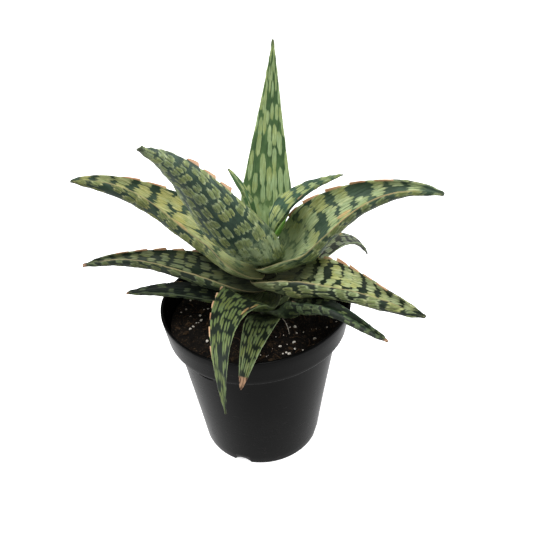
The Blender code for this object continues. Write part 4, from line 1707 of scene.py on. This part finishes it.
# %% Crumbs and bark
CRUMB_COUNT = 900
FLAKE_COUNT = 90
soil_rng = np.random.default_rng(71)
crumb_rows = []
for x, y in soil_places(soil_rng, CRUMB_COUNT, 2.0):
    size = soil_rng.uniform(0.35, 1.15)
    crumb_rows.append((x, y, 0.6, size, size * soil_rng.uniform(0.6, 1), size * 0.7, 0.4))
crumb_look = make_soil_material("peat_crumb", (0.0030, 0.0020, 0.0012), (0.018, 0.011, 0.006))
scatter("soil_crumbs", crumb_look, crumb_rows, soil_rng, 2, 0.2)
bark_rows = []
for x, y in soil_places(soil_rng, FLAKE_COUNT, 3.5):
    size = soil_rng.uniform(1.0, 2.6)
    lean = soil_rng.uniform(-0.5, 0.5)
    bark_rows.append((x, y, 0.45, size, size * soil_rng.uniform(0.4, 0.7), size * 0.28, lean))
bark_look = make_soil_material("bark_flake", (0.010, 0.006, 0.003), (0.050, 0.030, 0.015), 0.8)
scatter("bark_flakes", bark_look, bark_rows, soil_rng, 1, 0.22)
print("crumbs:", len(crumb_rows), "flakes:", len(bark_rows))

# %% [markdown]
# Perlite is puffed volcanic glass: chalk white, knobbly and full of pits. The grains that show in the
# open part of the pot stand where the photograph has them, and the rest are strewn by chance.

# %% Perlite
CHALK = (0.74, 0.71, 0.64)
PIT_BROWN = (0.30, 0.25, 0.18)
DIRT_BROWN = (0.20, 0.14, 0.09)
STREWN_PERLITE = 60
# x, y and radius in millimetres
SEEN_PERLITE = (
    (22.7, -9.2, 1.1),
    (22.9, -14.5, 0.8),
    (33.4, -19.6, 1.0),
    (21.3, -22.1, 1.1),
    (13.3, -24.0, 0.9),
    (21.5, -27.1, 0.7),
    (14.6, -30.3, 0.6),
    (18.0, -30.6, 1.0),
    (-33.3, 6.1, 0.8),
    (-32.5, 2.4, 0.9),
    (-37.0, -2.8, 0.8),
    (-38.6, -5.4, 0.8),
    (-28.2, -16.7, 0.9),
    (-14.8, -35.8, 0.9),
)


def make_perlite():
    look, shader = plain_material("perlite", (0.62, 0.58, 0.50), 0.9)
    tree = look.node_tree
    place = object_place(tree)
    pits = noise_node(tree, place, 1500.0, 3.0, 0.6)
    dirt = noise_node(tree, place, 400.0, 2.0)
    colour = mix_colour(tree, ramp(tree, pits, 0.35, 0.6), PIT_BROWN, CHALK)
    colour = mix_colour(tree, ramp(tree, dirt, 0.52, 0.7, 0.0, 0.6), colour, DIRT_BROWN)
    finish_shader(tree, shader, colour, times_plus(tree, pits, 0.15, 0.82), pits, 0.0003, 0.8)
    rng = np.random.default_rng(19)
    rows = [(x, y, 0.4, size, size * 0.85, size * 0.75, 0.3) for x, y, size in SEEN_PERLITE]
    for x, y in soil_places(rng, STREWN_PERLITE, 3.0):
        size = rng.uniform(0.3, 0.75)
        rows.append((x, y, 0.5, size, size * 0.9, size * 0.8, 0.3))
    return scatter("perlite_grains", look, rows, rng, 2, 0.16)


perlite = make_perlite()
print("perlite faces:", len(perlite.data.polygons))

# %% [markdown]
# Coir and root threads lie across the surface. Each is a short bent tube a few tenths of a millimetre
# thick, made of small rings along a path.

# %% Threads
# A direction that no thread follows, to build the tube's cross-section on
OFF_THREAD = (0.31, 0.17, 0.93)


def tube(path, radius, sides=6):
    """Points and faces of a thin closed tube along a path, thinner towards its ends."""
    path = np.asarray(path, dtype=float)
    ahead = np.gradient(path, axis=0)
    ahead /= np.linalg.norm(ahead, axis=1)[:, None]
    side = np.cross(ahead, OFF_THREAD)
    side /= np.linalg.norm(side, axis=1)[:, None]
    up = np.cross(side, ahead)
    turn = 2 * np.pi * np.arange(sides) / sides
    thick = radius * np.sqrt(np.clip(np.sin(np.linspace(0.25, math.pi - 0.25, len(path))), 0.1, 1))
    ring = side[:, None] * np.cos(turn)[None, :, None] + up[:, None] * np.sin(turn)[None, :, None]
    points = (path[:, None] + ring * thick[:, None, None]).reshape(-1, 3)
    faces = [tuple(range(sides))]
    for row in range(len(path) - 1):
        for k in range(sides):
            a, b = row * sides + k, row * sides + (k + 1) % sides
            faces.append((a, a + sides, b + sides, b))
    faces.append(tuple(reversed(range((len(path) - 1) * sides, len(path) * sides))))
    return points, faces


def coir_path(x, y, rng):
    """Radius and path of one thread that lies on the soil with its middle at x, y."""
    heading = rng.uniform(0, 2 * math.pi)
    bend = rng.uniform(-0.25, 0.25)
    length = rng.uniform(3.5, 9.5)
    radius = rng.uniform(0.09, 0.22)
    path = []
    for t in np.linspace(-0.5, 0.5, 8):
        angle = heading + bend * t * 4
        px = x + math.cos(angle) * length * t
        py = y + math.sin(angle) * length * t
        lift = soil_height(px, py) + crumb_height(px, py) + radius * 0.6 + 0.5 * (0.25 - t * t)
        path.append((px, py, lift))
    return radius, path


print("points of a plain thread:", len(tube(((0, 0, 0), (1, 0, 0)), 0.1)[0]))

# %% [markdown]
# Most threads lie flat by chance. One pale thread stands up from the mix near the right front leaf,
# as in the photograph.

# %% Fibres
# Foot of the pale thread and where its tip is, in millimetres
THREAD_FOOT = (19.2, -15.6)
THREAD_TIP = (15.2, -6.2)
THREAD_RISE = 5.5
THREAD_BOW = (0.6, 0.0, 1.4)


def make_coir():
    rng = np.random.default_rng(5)
    points, faces, count = [], [], 0
    for x, y in soil_places(rng, 55, 7.0):
        radius, path = coir_path(x, y, rng)
        more, loops = tube(path, radius)
        points.append(more)
        faces += [tuple(v + count for v in loop) for loop in loops]
        count += len(more)
    look = make_soil_material("coir_thread", (0.030, 0.016, 0.008), (0.085, 0.048, 0.024), 2.0)
    made = mesh_object("coir_fibres", np.concatenate(points), faces, look)
    return made


def make_pale_thread():
    t = np.linspace(0, 1, 14)[:, None]
    foot = np.array((*THREAD_FOOT, soil_height(*THREAD_FOOT) - 0.6))
    tip = np.array((*THREAD_TIP, soil_height(*THREAD_TIP) + THREAD_RISE))
    path = foot + (tip - foot) * t + np.array(THREAD_BOW) * np.sin(t * math.pi)
    points, faces = tube(path, 0.26, 8)
    look = make_soil_material("pale_thread", (0.30, 0.27, 0.22), (0.50, 0.47, 0.40), 2.0)
    made = mesh_object("pale_thread", points, faces, look)


coir = make_coir()
make_pale_thread()
print("coir faces:", len(coir.data.polygons))

# %% [markdown]
# The stem is the one solid that keeps its own shape, since the leaf bases hide nearly all of it. It
# only needs the dull green-brown, ringed skin of a short succulent stem, painted far darker as shade,
# since what shows of it lies deep in the hollow between the leaf bases.

# %% Stem material
STEM_DARK_SHADED = (0.012, 0.012, 0.006)
STEM_LIGHT_SHADED = (0.035, 0.042, 0.018)


def make_shaded_stem_material():
    made, shader = plain_material("stem_skin_shaded", (0.16, 0.17, 0.07), 0.7)
    tree = made.node_tree
    rings = noise_node(tree, stretched(tree, object_place(tree), (60.0, 60.0, 420.0)), 1.0, 3.0)
    # Painted shade: both ring tones are far darker than the stem's own skin.
    colour = mix_colour(tree, ramp(tree, rings, 0.35, 0.65), STEM_DARK_SHADED, STEM_LIGHT_SHADED)
    finish_shader(tree, shader, colour, times_plus(tree, rings, 0.2, 0.6), rings, 0.0006, 0.8)
    return made


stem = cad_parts["stem"]
for stem_slot in stem.material_slots:
    stem_slot.material = make_shaded_stem_material()
print("stem slots:", len(stem.material_slots))
